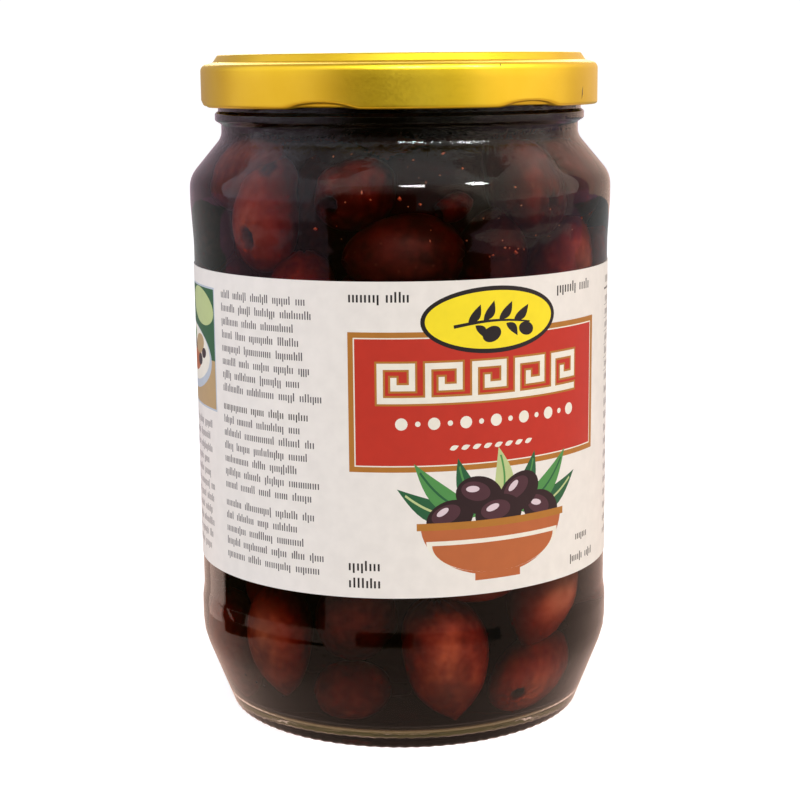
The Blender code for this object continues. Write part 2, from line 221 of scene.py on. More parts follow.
def turned(outline, segments, shift=None):
    """A closed bmesh of the outline turned round the axis that it starts and ends on. shift may move points."""
    builder = bmesh.new()
    start = builder.verts.new((0, 0, outline[0][1]))
    end = builder.verts.new((0, 0, outline[-1][1]))
    rings = []
    for r, z in outline[1:-1]:
        ring = []
        for i in range(segments):
            azimuth = 360.0 * i / segments
            point = placed(azimuth, r, z) if shift is None else placed(azimuth, *shift(azimuth, r, z))
            ring.append(builder.verts.new(point))
        rings.append(ring)
    for i in range(segments):
        j = (i + 1) % segments
        builder.faces.new((start, rings[0][i], rings[0][j]))
        builder.faces.new((end, rings[-1][j], rings[-1][i]))
        for lower, upper in zip(rings, rings[1:]):
            builder.faces.new((lower[i], upper[i], upper[j], lower[j]))
    bmesh.ops.recalc_face_normals(builder, faces=builder.faces)
    return builder


OUTER_CORNERS = [
    (0, PUSH_UP, 0),
    (FOOT_INNER_RADIUS - 4, PUSH_UP - 1.2, 6),
    (FOOT_INNER_RADIUS, 0, 1.0),
    (BASE_RADIUS, 0, 2.0),
    (HEEL_RADIUS, HEEL_HEIGHT, 14),
    (HEEL_RADIUS, 24.3, 8),
    (BODY_RADIUS, 27.3, 8),
    (BODY_RADIUS, 103.5, 40),
    (SHOULDER_RADIUS, 112, 40),
    (SHOULDER_RADIUS, SHOULDER_HEIGHT, 6),
    (NECK_RADIUS, NECK_HEIGHT, 4),
    (NECK_RADIUS, 128.4, 0.5),
    (BEAD_RADIUS, 129.2, 0.6),
    (BEAD_RADIUS, 130.7, 0.6),
    (FINISH_RADIUS, 131.2, 0.3),
    (FINISH_RADIUS, RIM_HEIGHT, 1.3),
]
INNER_CORNERS = [
    (MOUTH_RADIUS, RIM_HEIGHT, 1.3),
    (MOUTH_RADIUS - 0.2, NECK_HEIGHT - 1.0, 5),
    (BODY_RADIUS - WALL, SHOULDER_HEIGHT - 1.6, 6),
    (BODY_RADIUS - WALL, HEEL_HEIGHT + 1.5, 14),
    (FLOOR_EDGE_RADIUS, FLOOR_EDGE_HEIGHT, 4),
    (0, PUSH_UP + FLOOR_THICKNESS, 0),
]
INNER_OUTLINE = rounded_outline(INNER_CORNERS, 6)


def inner_radius(height):
    """The glass's inside radius at a height above the floor, read from its outline."""
    heights = np.array([p[1] for p in INNER_OUTLINE[:-1]][::-1])
    radii = np.array([p[0] for p in INNER_OUTLINE[:-1]][::-1])
    return np.interp(height, heights, radii)


def floor_height(radius):
    """The height of the domed glass floor at a distance from the axis."""
    middle = PUSH_UP + FLOOR_THICKNESS
    return middle - (middle - FLOOR_EDGE_HEIGHT) * np.minimum(radius / FLOOR_EDGE_RADIUS, 1.0)


print("inside radius at mid height:", inner_radius(70.0), "mm")

# %% [markdown]
# ## Glass and brine as clear materials
#
# Jar glass is soda-lime glass, blown into a mould and fire polished: IOR 1.52, almost colourless, and with a
# faint ripple where it cooled against the mould. The ripple matters more than any colour, since it breaks the
# edges of the highlights. It is strongest at the neck, where the glass folds into the thread.
#
# Olive brine is salt water stained by the skins. It is clear, so its colour comes from how far light travels
# through it: a Volume Absorption node dims each colour by the distance, and a thin film looks pale while a
# deep gap looks almost black.
#
# A renderer finds it hard to light what stands behind glass. Shadow rays are therefore let straight through,
# and the volume still tints them.

# %% Soda-lime glass and brine materials
GLASS_IOR = 1.52
BRINE_IOR = 1.35
BRINE_TINT = (0.75, 0.32, 0.24, 1.0)
BRINE_STRENGTH = 400.0  # absorption per metre


def clear_surface(tree, output, bsdf):
    """Puts bsdf on the surface, but lets lamps shine through it without bending their light."""
    shadow = add_node(tree, "ShaderNodeLightPath").outputs["Is Shadow Ray"]
    straight = add_node(tree, "ShaderNodeBsdfTransparent")
    tree.links.new(mixed(tree, shadow, bsdf.outputs["BSDF"], straight.outputs["BSDF"]), output.inputs["Surface"])


soda_lime_glass, tree, output = new_material("soda_lime_glass_blown")
place = add_node(tree, "ShaderNodeTexCoord").outputs["Object"]
# The mould's ripple is about 6 mm long, and the wrinkles by the thread about 1.2 mm.
ripple = add_node(tree, "ShaderNodeTexNoise", {"Vector": place, "Scale": 160.0, "Detail": 1.0})
wrinkle = add_node(tree, "ShaderNodeTexNoise", {"Vector": place, "Scale": 900.0, "Detail": 2.0})
height = add_node(tree, "ShaderNodeSeparateXYZ", {"Vector": place}).outputs["Z"]
by_the_neck = add_node(
    tree,
    "ShaderNodeMapRange",
    {"Value": height, "From Min": 0.121, "From Max": 0.1242, "To Min": 0.0, "To Max": 3.0},
)
wrinkle_share = add_node(
    tree, "ShaderNodeMath", {0: wrinkle.outputs["Fac"], 1: by_the_neck.outputs["Result"]}, operation="MULTIPLY"
)
relief = add_node(
    tree, "ShaderNodeMath", {0: ripple.outputs["Fac"], 1: wrinkle_share.outputs["Value"]}, operation="ADD"
)
bump = add_node(
    tree, "ShaderNodeBump", {"Height": relief.outputs["Value"], "Strength": 0.35, "Distance": 0.00012}
)
glass_bsdf = add_node(
    tree,
    "ShaderNodeBsdfPrincipled",
    {
        "Base Color": linear("#f7faf0"),
        "Roughness": 0.0,
        "IOR": GLASS_IOR,
        # Each wall is met twice, at air and at brine, and at brine it hardly reflects.
        "Specular Tint": (0.3, 0.3, 0.3, 1.0),
        "Transmission Weight": 1.0,
        "Normal": bump.outputs["Normal"],
    },
)
clear_surface(tree, output, glass_bsdf)

brine_liquid, tree, output = new_material("olive_brine")
brine_bsdf = add_node(
    tree,
    "ShaderNodeBsdfPrincipled",
    {
        "Base Color": linear("#ffffff"),
        "Roughness": 0.0,
        "IOR": BRINE_IOR,
        # Against the glass the brine's own surface hardly reflects.
        "Specular Tint": (0.0, 0.0, 0.0, 1.0),
        "Transmission Weight": 1.0,
    },
)
clear_surface(tree, output, brine_bsdf)
stain = add_node(tree, "ShaderNodeVolumeAbsorption", {"Color": BRINE_TINT, "Density": BRINE_STRENGTH})
tree.links.new(stain.outputs["Volume"], output.inputs["Volume"])
through = [round(math.exp(-BRINE_STRENGTH * (1 - c) * 0.01), 2) for c in BRINE_TINT[:3]]
print("10 mm of brine lets through", through)

# %% [markdown]
# ## The glass jar
#
# The outline is turned round the axis in small steps. Two things on a real jar aren't perfectly round, and a
# shift function moves the turned points for them: the six sloping thread ridges that the lid's lugs grip, and
# the row of fine knurls under the heel that keeps hot jars from sliding on the belt. Modelling them beats a
# bump, since they bend the light that passes through.

# %% Turn the glass
THREAD_STARTS = 6
THREAD_SWEEP = 50.0
THREAD_TOP, THREAD_BOTTOM = 137.5, 132.6
THREAD_RISE = 1.8
THREAD_HALF_HEIGHT = 0.9
LUG_AZIMUTH = -21.5
KNURLS = 96
KNURL_RISE = 0.16
JAR_SEGMENTS = 384


def glass_shift(azimuth, r, z):
    """Raises the thread ridges on the collar and the knurls under the heel."""
    pitch = 360.0 / THREAD_STARTS
    if r > FINISH_RADIUS - 0.2 and 131.4 < z < 140.6:
        run = (LUG_AZIMUTH + 18.0 - azimuth) % pitch
        share = run / THREAD_SWEEP
        if share <= 1.0:
            crest = THREAD_TOP + (THREAD_BOTTOM - THREAD_TOP) * share
            across = abs(z - crest) / THREAD_HALF_HEIGHT
            ends = smooth_step(6.0 * min(share, 1 - share))
            r += THREAD_RISE * ends * smooth_step(1.35 * (1.25 - across))
    if z < 1.6 and FOOT_INNER_RADIUS < r < 41.0:
        along = 0.5 + 0.5 * math.cos(math.radians(KNURLS * azimuth))
        low = smooth_step(1.0 - abs(z - 0.35) / 1.1)
        r += KNURL_RISE * along * low
        z += 0.5 * KNURL_RISE * (1 - along) * low
    return r, z


glass_outline = rounded_outline(OUTER_CORNERS + INNER_CORNERS, 9)
glass_outline = spaced(glass_outline, 0.45, 131.0, RIM_HEIGHT)
glass_outline = spaced(glass_outline, 0.5, -0.1, 1.6)
glass_outline = spaced(glass_outline, 4.0)
glass_builder = turned(glass_outline, JAR_SEGMENTS, glass_shift)
glass = finished("jar_glass", glass_builder, [soda_lime_glass], ["glass_jar"])
print("glass faces:", len(glass.data.polygons))

# %% [markdown]
# ## The brine
#
# The liquid fills everything inside the glass that the olives leave. If its surface stopped short of the wall,
# a film of air would show as a silver skin, so it reaches a tenth of a millimetre into the glass. The olives
# simply stand inside it.

# %% Pour the brine
WALL_OVERLAP = 0.1
brine_corners = [(0, PUSH_UP + FLOOR_THICKNESS - WALL_OVERLAP, 0)]
for r, z in reversed(INNER_OUTLINE[:-1]):
    if z < BRINE_LEVEL - 1.0:
        brine_corners.append((r + WALL_OVERLAP, z - (WALL_OVERLAP if z < 12 else 0), 0))
brine_corners.append((MOUTH_RADIUS + WALL_OVERLAP, BRINE_LEVEL, 0))
brine_corners.append((0, BRINE_LEVEL, 0))
brine_outline = spaced([np.array(c[:2], float) for c in brine_corners], 6.0)
brine = finished("brine", turned(brine_outline, 192), [brine_liquid])
print("brine faces:", len(brine.data.polygons))

# %% [markdown]
# ## Where the olives lie
#
# A packed jar is a heap that has settled. Placing some 130 olives by hand would take a day, and a full physics
# simulation gives no say in which olive lies where. The middle way is a small relaxation: each olive is three
# balls on a stick, overlapping balls push each other apart, and the glass pushes everything in. The olives
# that show at the front are placed first, by azimuth and height, and the rest settle round them. Some overlap
# is left, so that neighbours look pressed together.

# %% Settle the heap
OLIVE_COUNT = 135  # with the clear spots
OLIVE_LENGTH = (21.0, 25.5)
OLIVE_SLIMNESS = (0.62, 0.69)
SEED = 29
FILL_TOP = 125.0
SETTLE_STEPS = 160
SINK = 0.06
GLASS_CLEARANCE = 0.12

# Azimuth, height, lean of the tip end from straight up, turn of the stem end towards the front, length, width,
# gap to the glass, how ripe it is (0 is a light red-brown olive and 1 is a dark one), how many degrees the
# pitting machine missed the stem end by, and how far the tip is drawn out.
FRONT_OLIVES = [
    (-82, 109, 178, 0, 23, 15, 0, 0.85, 10, 0.5),
    (-60, 120, 60, 0, 20, 13.5, 0, 0.4, 10, 0.5),
    (-47.5, 110, 12, 22, 21.8, 14, 0, 0.22, 58, 0.3),
    (-33, 93.5, 185, -20, 23, 14, 0, 0.4, 10, 0.2),
    (-14.5, 114.3, 80, 40, 16.5, 12, 3.5, 0.7, 18, 0.2),
    (1.5, 103, 268, -15, 24, 17, 0, 0.85, 10, 0.05),
    (17.5, 112.5, 70, 0, 8, 5, 7, 0.7, 10, 0.3),
    (31, 101, 10, 0, 23, 15, 3.0, 0.95, 10, 0.3),
    (46, 116.8, 325, 32, 20.5, 15.5, 0.5, 0.78, 42, 0.4),
    (60.5, 99.5, 28, 0, 23, 15.5, 0, 0.56, 10, 0.2),
    (68, 116.5, 100, 0, 22, 14.5, 0, 0.9, 10, 0.5),
    (-43.5, 21.8, 177, 0, 24, 13.8, 0, 0.32, 10, 0.6),
    (-71, 17, 168, 0, 23, 15, 0, 0.35, 10, 0.6),
    (-17, 27.5, 8, -35, 23, 15.5, 0.8, 0.62, 10, 0.2),
    (-19, 12, 75, 0, 16, 11.5, 3.5, 0.5, 10, 0.2),
    (13.8, 19.4, 171, 0, 27.5, 16.5, 0, 0.46, 10, 1.0),
    (25, 38.5, 95, 0, 23, 15.5, 0, 0.28, 10, 0.6),
    (51, 29.8, 202, 0, 25, 15, 0, 0.05, 10, 1.0),
    (49, 13.6, 62, 20, 23, 13.5, 0, 0.34, 30, 0.5),
]
# Three places near the front glass where only brine shows. Each holds the room of an olive that isn't there.
CLEAR_SPOTS = [
    (16, 118.5, 80, 0, 25, 16, 0),
    (18, 111.5, 85, 0, 20, 8, 0),
    (-24, 108.5, 5, 0, 23, 13.5, 0),
]


def front_axis(azimuth, lean, turn):
    """The unit vector from an olive's stem end to its tip."""
    a, b, c = math.radians(azimuth), math.radians(lean), math.radians(turn)
    along = np.array([math.cos(a) * math.sin(b), math.sin(a) * math.sin(b), math.cos(b)])
    return along * math.cos(c) + np.array([0.0, math.sin(c), 0.0])


def settle_olives():
    """Where every olive lies: (middles, axes from stem end to tip, lengths, widths)."""
    rng = np.random.default_rng(SEED)
    fixed = len(FRONT_OLIVES) + len(CLEAR_SPOTS)
    given = [row[:7] for row in FRONT_OLIVES] + CLEAR_SPOTS
    length = rng.uniform(*OLIVE_LENGTH, OLIVE_COUNT)
    width = length * rng.uniform(*OLIVE_SLIMNESS, OLIVE_COUNT)
    axis = rng.normal(size=(OLIVE_COUNT, 3))
    around = rng.uniform(0, 360, OLIVE_COUNT)
    out = 34.0 * np.sqrt(rng.uniform(0, 1, OLIVE_COUNT))
    up = np.linspace(14.0, FILL_TOP - 6.0, OLIVE_COUNT)
    middle = np.array([placed(a, r, z) for a, r, z in zip(around, out, up)])
    for i, (azimuth, height, lean, turn, long, wide, gap) in enumerate(given):
        depth = gap + 0.5 * (wide + (long - wide) * abs(math.sin(math.radians(turn))))
        middle[i] = placed(azimuth, inner_radius(height) - depth, height)
        axis[i] = front_axis(azimuth, lean, turn)
        length[i], width[i] = long, wide
    axis /= np.linalg.norm(axis, axis=1)[:, None]
    ball = np.stack([0.345 * width, 0.5 * width, 0.345 * width], axis=1)
    arm = 0.5 * length - ball[:, 0]
    same = np.repeat(np.arange(OLIVE_COUNT), 3)
    apart = same[:, None] != same[None, :]
    reach = ball.ravel()[:, None] + ball.ravel()[None, :]
    free = np.ones(OLIVE_COUNT)
    free[:fixed] = 0.0
    for step in range(SETTLE_STEPS):
        middle[:, 2] -= SINK * (1 - step / SETTLE_STEPS) * free
        spots = middle[:, None, :] + axis[:, None, :] * arm[:, None, None] * np.array([-1.0, 0.0, 1.0])[:, None]
        flat = spots.reshape(-1, 3)
        between = flat[:, None, :] - flat[None, :, :]
        gap = np.sqrt((between**2).sum(axis=2)) + 1e-9
        overlap = np.where(apart, np.maximum(reach - gap, 0.0), 0.0)
        share = np.where(free[same] > 0, 0.28, 0.0)[:, None] * overlap / gap
        push = (share[:, :, None] * between).sum(axis=1).reshape(OLIVE_COUNT, 3, 3)
        spots = spots + push
        rho = np.sqrt(spots[:, :, 0] ** 2 + spots[:, :, 1] ** 2) + 1e-9
        most = inner_radius(spots[:, :, 2]) - GLASS_CLEARANCE - ball
        inwards = np.minimum(most / rho, 1.0)
        spots[:, :, 0] *= inwards
        spots[:, :, 1] *= inwards
        lowest = floor_height(rho * inwards) + GLASS_CLEARANCE + ball
        spots[:, :, 2] = np.clip(spots[:, :, 2], lowest, FILL_TOP - ball)
        middle = spots.mean(axis=1)
        axis = spots[:, 2] - spots[:, 0]
        axis /= np.linalg.norm(axis, axis=1)[:, None]
    kept = np.r_[0 : len(FRONT_OLIVES), fixed:OLIVE_COUNT]
    return np.round(middle, 2)[kept], np.round(axis, 3)[kept], length[kept], width[kept]


olive_middles, olive_axes, olive_lengths, olive_widths = settle_olives()
print("olives settled:", len(olive_middles))

# %% [markdown]
# ## Olive skin
#
# A cured olive has a thin waxy skin over soft flesh. Each one ripened differently, so its colour runs from
# red-brown to near black, and within one olive it drifts in soft patches, paler where the skin is thin, with
# tiny pale pores. The mesh carries two numbers for the material: how ripe that olive is, and how deep a point
# lies in the pit's hole, where the flesh is painted darker with depth: its own colour and painted shade.

# %% Olive skin material
olive_skin, tree, output = new_material("cured_olive_skin")
place = add_node(tree, "ShaderNodeTexCoord").outputs["Object"]
ripeness = add_node(tree, "ShaderNodeAttribute", attribute_name="ripeness").outputs["Fac"]
# How deep a point lies in the pit's hole. The material paints the hole's flesh darker with it, as painted shade.
hole_flesh_and_shade = add_node(tree, "ShaderNodeAttribute", attribute_name="hole_flesh_and_shade").outputs["Fac"]
# Patches are about 7 mm across and mottling 2 mm. Real pores are 0.3 mm wide and are drawn a bit coarser.
patches = add_node(
    tree, "ShaderNodeTexNoise", {"Vector": place, "Scale": 140.0, "Detail": 2.0, "Roughness": 0.6}
)
mottle = add_node(tree, "ShaderNodeTexNoise", {"Vector": place, "Scale": 480.0, "Detail": 1.0})
pores = add_node(tree, "ShaderNodeTexVoronoi", {"Vector": place, "Scale": 420.0})
tone = ripeness
for drift in (spread(tree, patches.outputs["Fac"], -0.15, 0.15), spread(tree, mottle.outputs["Fac"], -0.07, 0.07)):
    tone = add_node(tree, "ShaderNodeMath", {0: tone, 1: drift}, operation="ADD").outputs["Value"]
skin_colour = add_node(
    tree,
    "ShaderNodeValToRGB",
    {"Fac": tone},
    stops=[(0.0, "#b0644a"), (0.25, "#94482f"), (0.5, "#6b2c20"), (0.75, "#421a18"), (1.0, "#241012")],
)
pore_spots = add_node(
    tree,
    "ShaderNodeMapRange",
    {"Value": pores.outputs["Distance"], "From Min": 0.07, "From Max": 0.17, "To Min": 0.06, "To Max": 0.0},
)
with_pores = add_node(
    tree,
    "ShaderNodeMix",
    {"Factor": pore_spots.outputs["Result"], 6: skin_colour.outputs["Color"], 7: linear("#b98b72")},
    data_type="RGBA",
)
# Painted shade: the flesh in the pit's hole goes near black with depth.
with_hole_flesh_and_shade = add_node(
    tree,
    "ShaderNodeMix",
    {"Factor": hole_flesh_and_shade, 6: with_pores.outputs[2], 7: linear("#1c0b09")},
    data_type="RGBA",
)
grain = add_node(
    tree, "ShaderNodeBump", {"Height": mottle.outputs["Fac"], "Strength": 0.15, "Distance": 0.00005}
)
skin_bsdf = add_node(
    tree,
    "ShaderNodeBsdfPrincipled",
    {
        "Base Color": with_hole_flesh_and_shade.outputs[2],
        "Roughness": 0.4,
        "IOR": 1.45,
        # The skin lies in brine, which is nearly as dense, so it hardly reflects.
        "Specular IOR Level": 0.06,
        "Normal": grain.outputs["Normal"],
    },
)
tree.links.new(skin_bsdf.outputs["BSDF"], output.inputs["Surface"])
print("olive skin nodes:", len(tree.nodes))

# Scraps of flesh that float in the brine.
olive_flesh = plain_material("olive_flesh_scraps", "#cf8f6c", 0.6, shine=0.06)

# %% [markdown]
# ## The olives
#
# An olive of this kind is almond shaped, fullest near the stem end and drawn to a point, with a slight bend.
# The pitting machine punches a round hole near the stem end, often off the middle, and the skin creases towards
# it. Each olive is a grid of rings round its hole, pushed by a few smooth waves and then pressed flat where it
# meets the glass. Olives at bare glass get a fine grid and hidden ones a coarse one, which keeps the whole heap
# light. A few scraps of flesh float in the brine at the top.

# %% Shape the olives
LABEL_BOTTOM, LABEL_TOP = 34.7, 99.0
LABEL_ENDS_APART = 15.0
HOLE_RADIUS = 1.25
HOLE_DEPTH = 4.0
OLIVE_WITH_PAINTED_TIP_HOLE = 2  # the olive that also shows a dark spot at its tip, where the pit came out: its flesh and painted shade, with no hole cut
CORE_RADIUS = 27.0
SCRAP_COUNT = 60


def shows(middle, width):
    """True for an olive that lies near the glass where the label leaves it bare."""
    rho = math.hypot(middle[0], middle[1])
    at_glass = rho + 0.5 * width > inner_radius(middle[2]) - 9.0
    at_back = middle[1] > 0 and abs(math.degrees(math.atan2(middle[0], middle[1]))) < LABEL_ENDS_APART + 4
    over_or_under = middle[2] > LABEL_TOP - 12.0 or middle[2] < LABEL_BOTTOM + 10.0
    return at_glass and (over_or_under or at_back)


def olive_grid(rng, length, width, rings, sides, missed, drawn_out, painted_tip_hole):
    """An olive along its own axis, ring by ring from the pit's hole, as (points, how much painted hole shade
    darkens the flesh there).
    """
    share = np.linspace(0.0, 1.0, rings + 1)[:, None]
    share = share**1.45 * (1 - share) + (1 - (1 - share) ** 1.15) * share
    around = np.linspace(0, 2 * math.pi, sides, endpoint=False)[None, :]
    polar = math.pi * share * np.ones_like(around)
    u, v, w = np.sin(polar) * np.cos(around), np.sin(polar) * np.sin(around), -np.cos(polar)
    c, s = math.cos(math.radians(missed)), math.sin(math.radians(missed))
    u, x = c * u - s * w, s * u + c * w
    x = np.clip(x, -1.0, 1.0)
    level = np.sqrt(1.0 - x * x) + 1e-9
    swell = level ** (1.0 + drawn_out * np.maximum(x, 0.0)) * (1.0 - 0.08 * x)
    turn = np.arctan2(v, u)
    for waves, size in ((2, 0.030), (3, 0.022), (5, 0.010)):
        phase, twist = rng.uniform(0, 2 * math.pi, 2)
        swell = swell * (1 + size * np.sin(waves * turn + phase + 2.2 * np.sin(twist + 1.5 * x)))
    radius = 0.5 * width * swell
    points = np.stack([radius * u / level, radius * v / level, 0.5 * length * x], axis=2)
    creases, phase = int(rng.integers(6, 10)), rng.uniform(0, 2 * math.pi)
    groove = (1 - np.abs(np.sin(0.5 * creases * around + phase + 2.0 * share))) ** 2
    by_hole = np.exp(-(((polar - 0.28) / 0.30) ** 2))
    by_tip = np.exp(-((1 - x) / 0.05)) * (1 - np.abs(np.sin(2 * turn + phase)))
    pull = 0.075 * by_hole * groove + 0.05 * by_tip
    points = points * (1 - pull)[:, :, None]
    hole = HOLE_RADIUS * rng.uniform(0.8, 1.15) / (0.5 * width)
    deep = np.clip((1.25 * hole - polar) / (0.5 * hole), 0.0, 1.0)
    points = points - HOLE_DEPTH * (deep**1.5)[:, :, None] * np.array([s, 0.0, -c])
    # The tip's hole isn't cut into the points. Only a dark spot is painted there, its flesh and its painted shade.
    if painted_tip_hole:
        off = np.arccos(np.clip(0.62 * u + 0.38 * v + 0.69 * x, -1.0, 1.0))
        deep = np.maximum(deep, 0.9 * np.clip((0.28 - off) / 0.07, 0.0, 1.0))
    points[:, :, 0] += rng.uniform(-0.06, -0.02) * length * x * x
    return points, deep


def press_on_glass(points):
    """Keeps points inside the glass: the skin flattens where it touches."""
    rho = np.hypot(points[:, 0], points[:, 1]) + 1e-9
    z = np.maximum(points[:, 2], floor_height(rho) + GLASS_CLEARANCE)
    most = inner_radius(z) - GLASS_CLEARANCE
    inwards = np.minimum(1.0, most / rho)
    return np.stack([points[:, 0] * inwards, points[:, 1] * inwards, z], axis=1)


def build_heap():
    """All the olives outside the core as one mesh, with a ripeness and a share of painted hole shade at each
    point.
    """
    rng = np.random.default_rng(SEED + 1)
    all_points, all_faces, ripe, deep, first = [], [], [], [], 0
    for number in range(len(olive_middles)):
        middle, axis = olive_middles[number], olive_axes[number]
        length, width = olive_lengths[number], olive_widths[number]
        rho = math.hypot(middle[0], middle[1])
        level = FRONT_OLIVES[number][7] if number < len(FRONT_OLIVES) else float(rng.beta(1.6, 2.0))
        seen = shows(middle, width)
        near_end = middle[2] > FILL_TOP - 22 or middle[2] < 22
        if rho + 0.5 * width < CORE_RADIUS and not near_end:
            continue
        front = number < len(FRONT_OLIVES)
        rings, sides = (44, 44) if front else (28, 30) if seen else (12, 14)
        own_shape = (rng.uniform(0, 22), rng.uniform(0.3, 0.9)) if not front else FRONT_OLIVES[number][8:10]
        missed, drawn_out = own_shape
        painted_tip_hole = number == OLIVE_WITH_PAINTED_TIP_HOLE
        grid, depth = olive_grid(rng, length, width, rings, sides, missed, drawn_out, painted_tip_hole)
        side = middle * [1.0, 1.0, 0.0] if front else rng.normal(size=3)
        side = side - axis * (side @ axis)
        side /= np.linalg.norm(side)
        other = np.cross(axis, side)
        points = grid.reshape(-1, 3) @ np.array([side, other, axis]) + middle
        points = press_on_glass(points)
        stem_end, tip_end = points[:sides].mean(axis=0), points[-sides:].mean(axis=0)
        points = np.vstack([points[sides:-sides], stem_end, tip_end])
        count = (rings - 1) * sides
        for k in range(rings - 2):
            for i in range(sides):
                j = (i + 1) % sides
                low, high = first + k * sides, first + (k + 1) * sides
                all_faces.append((low + i, low + j, high + j, high + i))
        for i in range(sides):
            j = (i + 1) % sides
            all_faces.append((first + count, first + j, first + i))
            all_faces.append((first + count + 1, first + count - sides + i, first + count - sides + j))
        all_points.append(points)
        ripe += [level] * len(points)
        deep += list(depth[1:-1].ravel()) + [1.0, depth[-1, 0]]
        first += len(points)
    return np.vstack(all_points), all_faces, ripe, deep


def scrap(builder, rng, azimuth, depth, height, size):
    """A flake of flesh with six corners, at a depth behind the glass."""
    corners = rng.normal(size=(6, 3)) * 0.12 + np.array([c for a in np.eye(3) for c in (a, -a)])
    corners = corners * size * rng.uniform(0.25, 1.0, 3) + placed(azimuth, inner_radius(height) - depth, height)
    made = [builder.verts.new(p) for p in corners]
    for i, j, k in ((0, 2, 4), (2, 1, 4), (1, 3, 4), (3, 0, 4), (2, 0, 5), (1, 2, 5), (3, 1, 5), (0, 3, 5)):
        builder.faces.new((made[i], made[j], made[k])).material_index = 1
    return [1.0] * 6


heap_points, heap_faces, heap_ripe, heap_hole_shade = build_heap()
builder = bmesh.new()
made = [builder.verts.new(p) for p in heap_points]
for face in heap_faces:
    builder.faces.new([made[i] for i in face])
rng = np.random.default_rng(SEED + 2)
for _ in range(SCRAP_COUNT):
    size = rng.uniform(0.15, 0.5) * rng.uniform(0.7, 1.5)
    azimuth, depth, height = rng.uniform(-30, 74), rng.uniform(0.8, 5.0), rng.uniform(103.0, 122.0)
    heap_ripe += scrap(builder, rng, azimuth, depth, height, size)
heap_hole_shade += [0.0] * (len(heap_ripe) - len(heap_hole_shade))
bmesh.ops.recalc_face_normals(builder, faces=builder.faces)
olives = finished("olive_heap", builder, [olive_skin, olive_flesh], ["olives"])
for name, values in (("ripeness", heap_ripe), ("hole_flesh_and_shade", heap_hole_shade)):
    layer = olives.data.attributes.new(name, "FLOAT", "POINT")
    layer.data.foreach_set("value", np.array(values, dtype=np.float32))
print("olive heap faces:", len(olives.data.polygons))

# %% [markdown]
# ## The dark middle
#
# Behind the outer layers of olives there is only dimness: brine, and more olives that no light reaches. One
# lumpy shape stands in for those nearest the axis, olive coloured and darkened with painted shade. It costs less
# than olives that never show, and it stops the eye from seeing clean through the jar.

# %% Fill the middle
core_olives_in_painted_shade, tree, output = new_material("shaded_olives")
place = add_node(tree, "ShaderNodeTexCoord").outputs["Object"]
lumps = add_node(tree, "ShaderNodeTexVoronoi", {"Vector": place, "Scale": 70.0})
# Painted shade: these colours run darker than any olive's skin, for olives that little light reaches.
dark_colour = add_node(
    tree,
    "ShaderNodeValToRGB",
    {"Fac": lumps.outputs["Distance"]},
    stops=[(0.0, "#3a1c18"), (0.6, "#241010"), (1.0, "#120808")],
)
dark_bsdf = add_node(
    tree, "ShaderNodeBsdfPrincipled", {"Base Color": dark_colour.outputs["Color"], "Roughness": 0.6}
)
tree.links.new(dark_bsdf.outputs["BSDF"], output.inputs["Surface"])


def lumpy(azimuth, r, z):
    """Shallow olive-sized lumps on the core."""
    a = math.radians(azimuth)
    return r * (1 + 0.05 * math.sin(9 * a + 0.35 * z) * math.sin(0.30 * z + 2 * a)), z


core_corners = [(0, 12, 0), (CORE_RADIUS, 12, 8), (CORE_RADIUS, FILL_TOP - 4, 8), (0, FILL_TOP - 4, 0)]
core_outline = spaced(rounded_outline(core_corners, 6), 4.0)
core = finished("heap_core", turned(core_outline, 72, lumpy), [core_olives_in_painted_shade], ["olives"])
print("core faces:", len(core.data.polygons))

# %% [markdown]
# ## Gold lacquer on tinplate
#
# The lid is pressed from tinplate, steel with a skin of tin, and roller coated with a clear gold lacquer
# before stamping. The lacquer tints every reflection, so it is metallic with a gold colour, and its surface
# scatters light a little: roughness about 0.4 with a very fine grain. The grain is the metal's own, about
# 0.2 mm, drawn a bit coarser so that it shows.

# %% Lid material
gold_lacquer, tree, output = new_material("gold_lacquered_tinplate")
place = add_node(tree, "ShaderNodeTexCoord").outputs["Object"]
grain = add_node(tree, "ShaderNodeTexNoise", {"Vector": place, "Scale": 2600.0, "Detail": 2.0})
clouds = add_node(tree, "ShaderNodeTexNoise", {"Vector": place, "Scale": 110.0, "Detail": 3.0})
gold = add_node(
    tree,
    "ShaderNodeValToRGB",
    {"Fac": clouds.outputs["Fac"]},
    stops=[(0.3, "#e6c62b"), (0.7, "#ecce37")],
)
grain_bump = add_node(
    tree, "ShaderNodeBump", {"Height": grain.outputs["Fac"], "Strength": 0.2, "Distance": 0.000005}
)
gold_bsdf = add_node(
    tree,
    "ShaderNodeBsdfPrincipled",
    {
        "Base Color": gold.outputs["Color"],
        "Metallic": 1.0,
        "Roughness": spread(tree, grain.outputs["Fac"], 0.35, 0.42),
        "Coat Weight": 0.08,
        "Coat Roughness": 0.12,
        "Normal": grain_bump.outputs["Normal"],
    },
)
tree.links.new(gold_bsdf.outputs["BSDF"], output.inputs["Surface"])
print("lid nodes:", len(tree.nodes))

# %% [markdown]
# ## The twist-off lid
#
# A press draws the lid's raised ring, curls its lower edge under, and then pinches six lugs into the curl to
# grip the threads. Each pinch leaves a shallow arch in the skirt. The outline is turned like the glass, and
# the shift function pinches it.

# %% Press the lid
LID_RADIUS = 42.5
LID_TOP = 142.9
LID_BOTTOM = 132.1
SHEET = 0.3
RING_INNER, RING_OUTER = 35.0, 38.8
LEDGE_RADIUS = 39.9
PANEL_HEIGHT = 141.7
BUTTON_RADIUS = 15.0
BUTTON_DIP = 0.5
CURL_INNER = 41.2
CURL_TOP = 133.6
LUG_HALF_WIDTH = 11.5  # degrees
LUG_ARCH = 1.25
LUG_DEPTH = 0.8

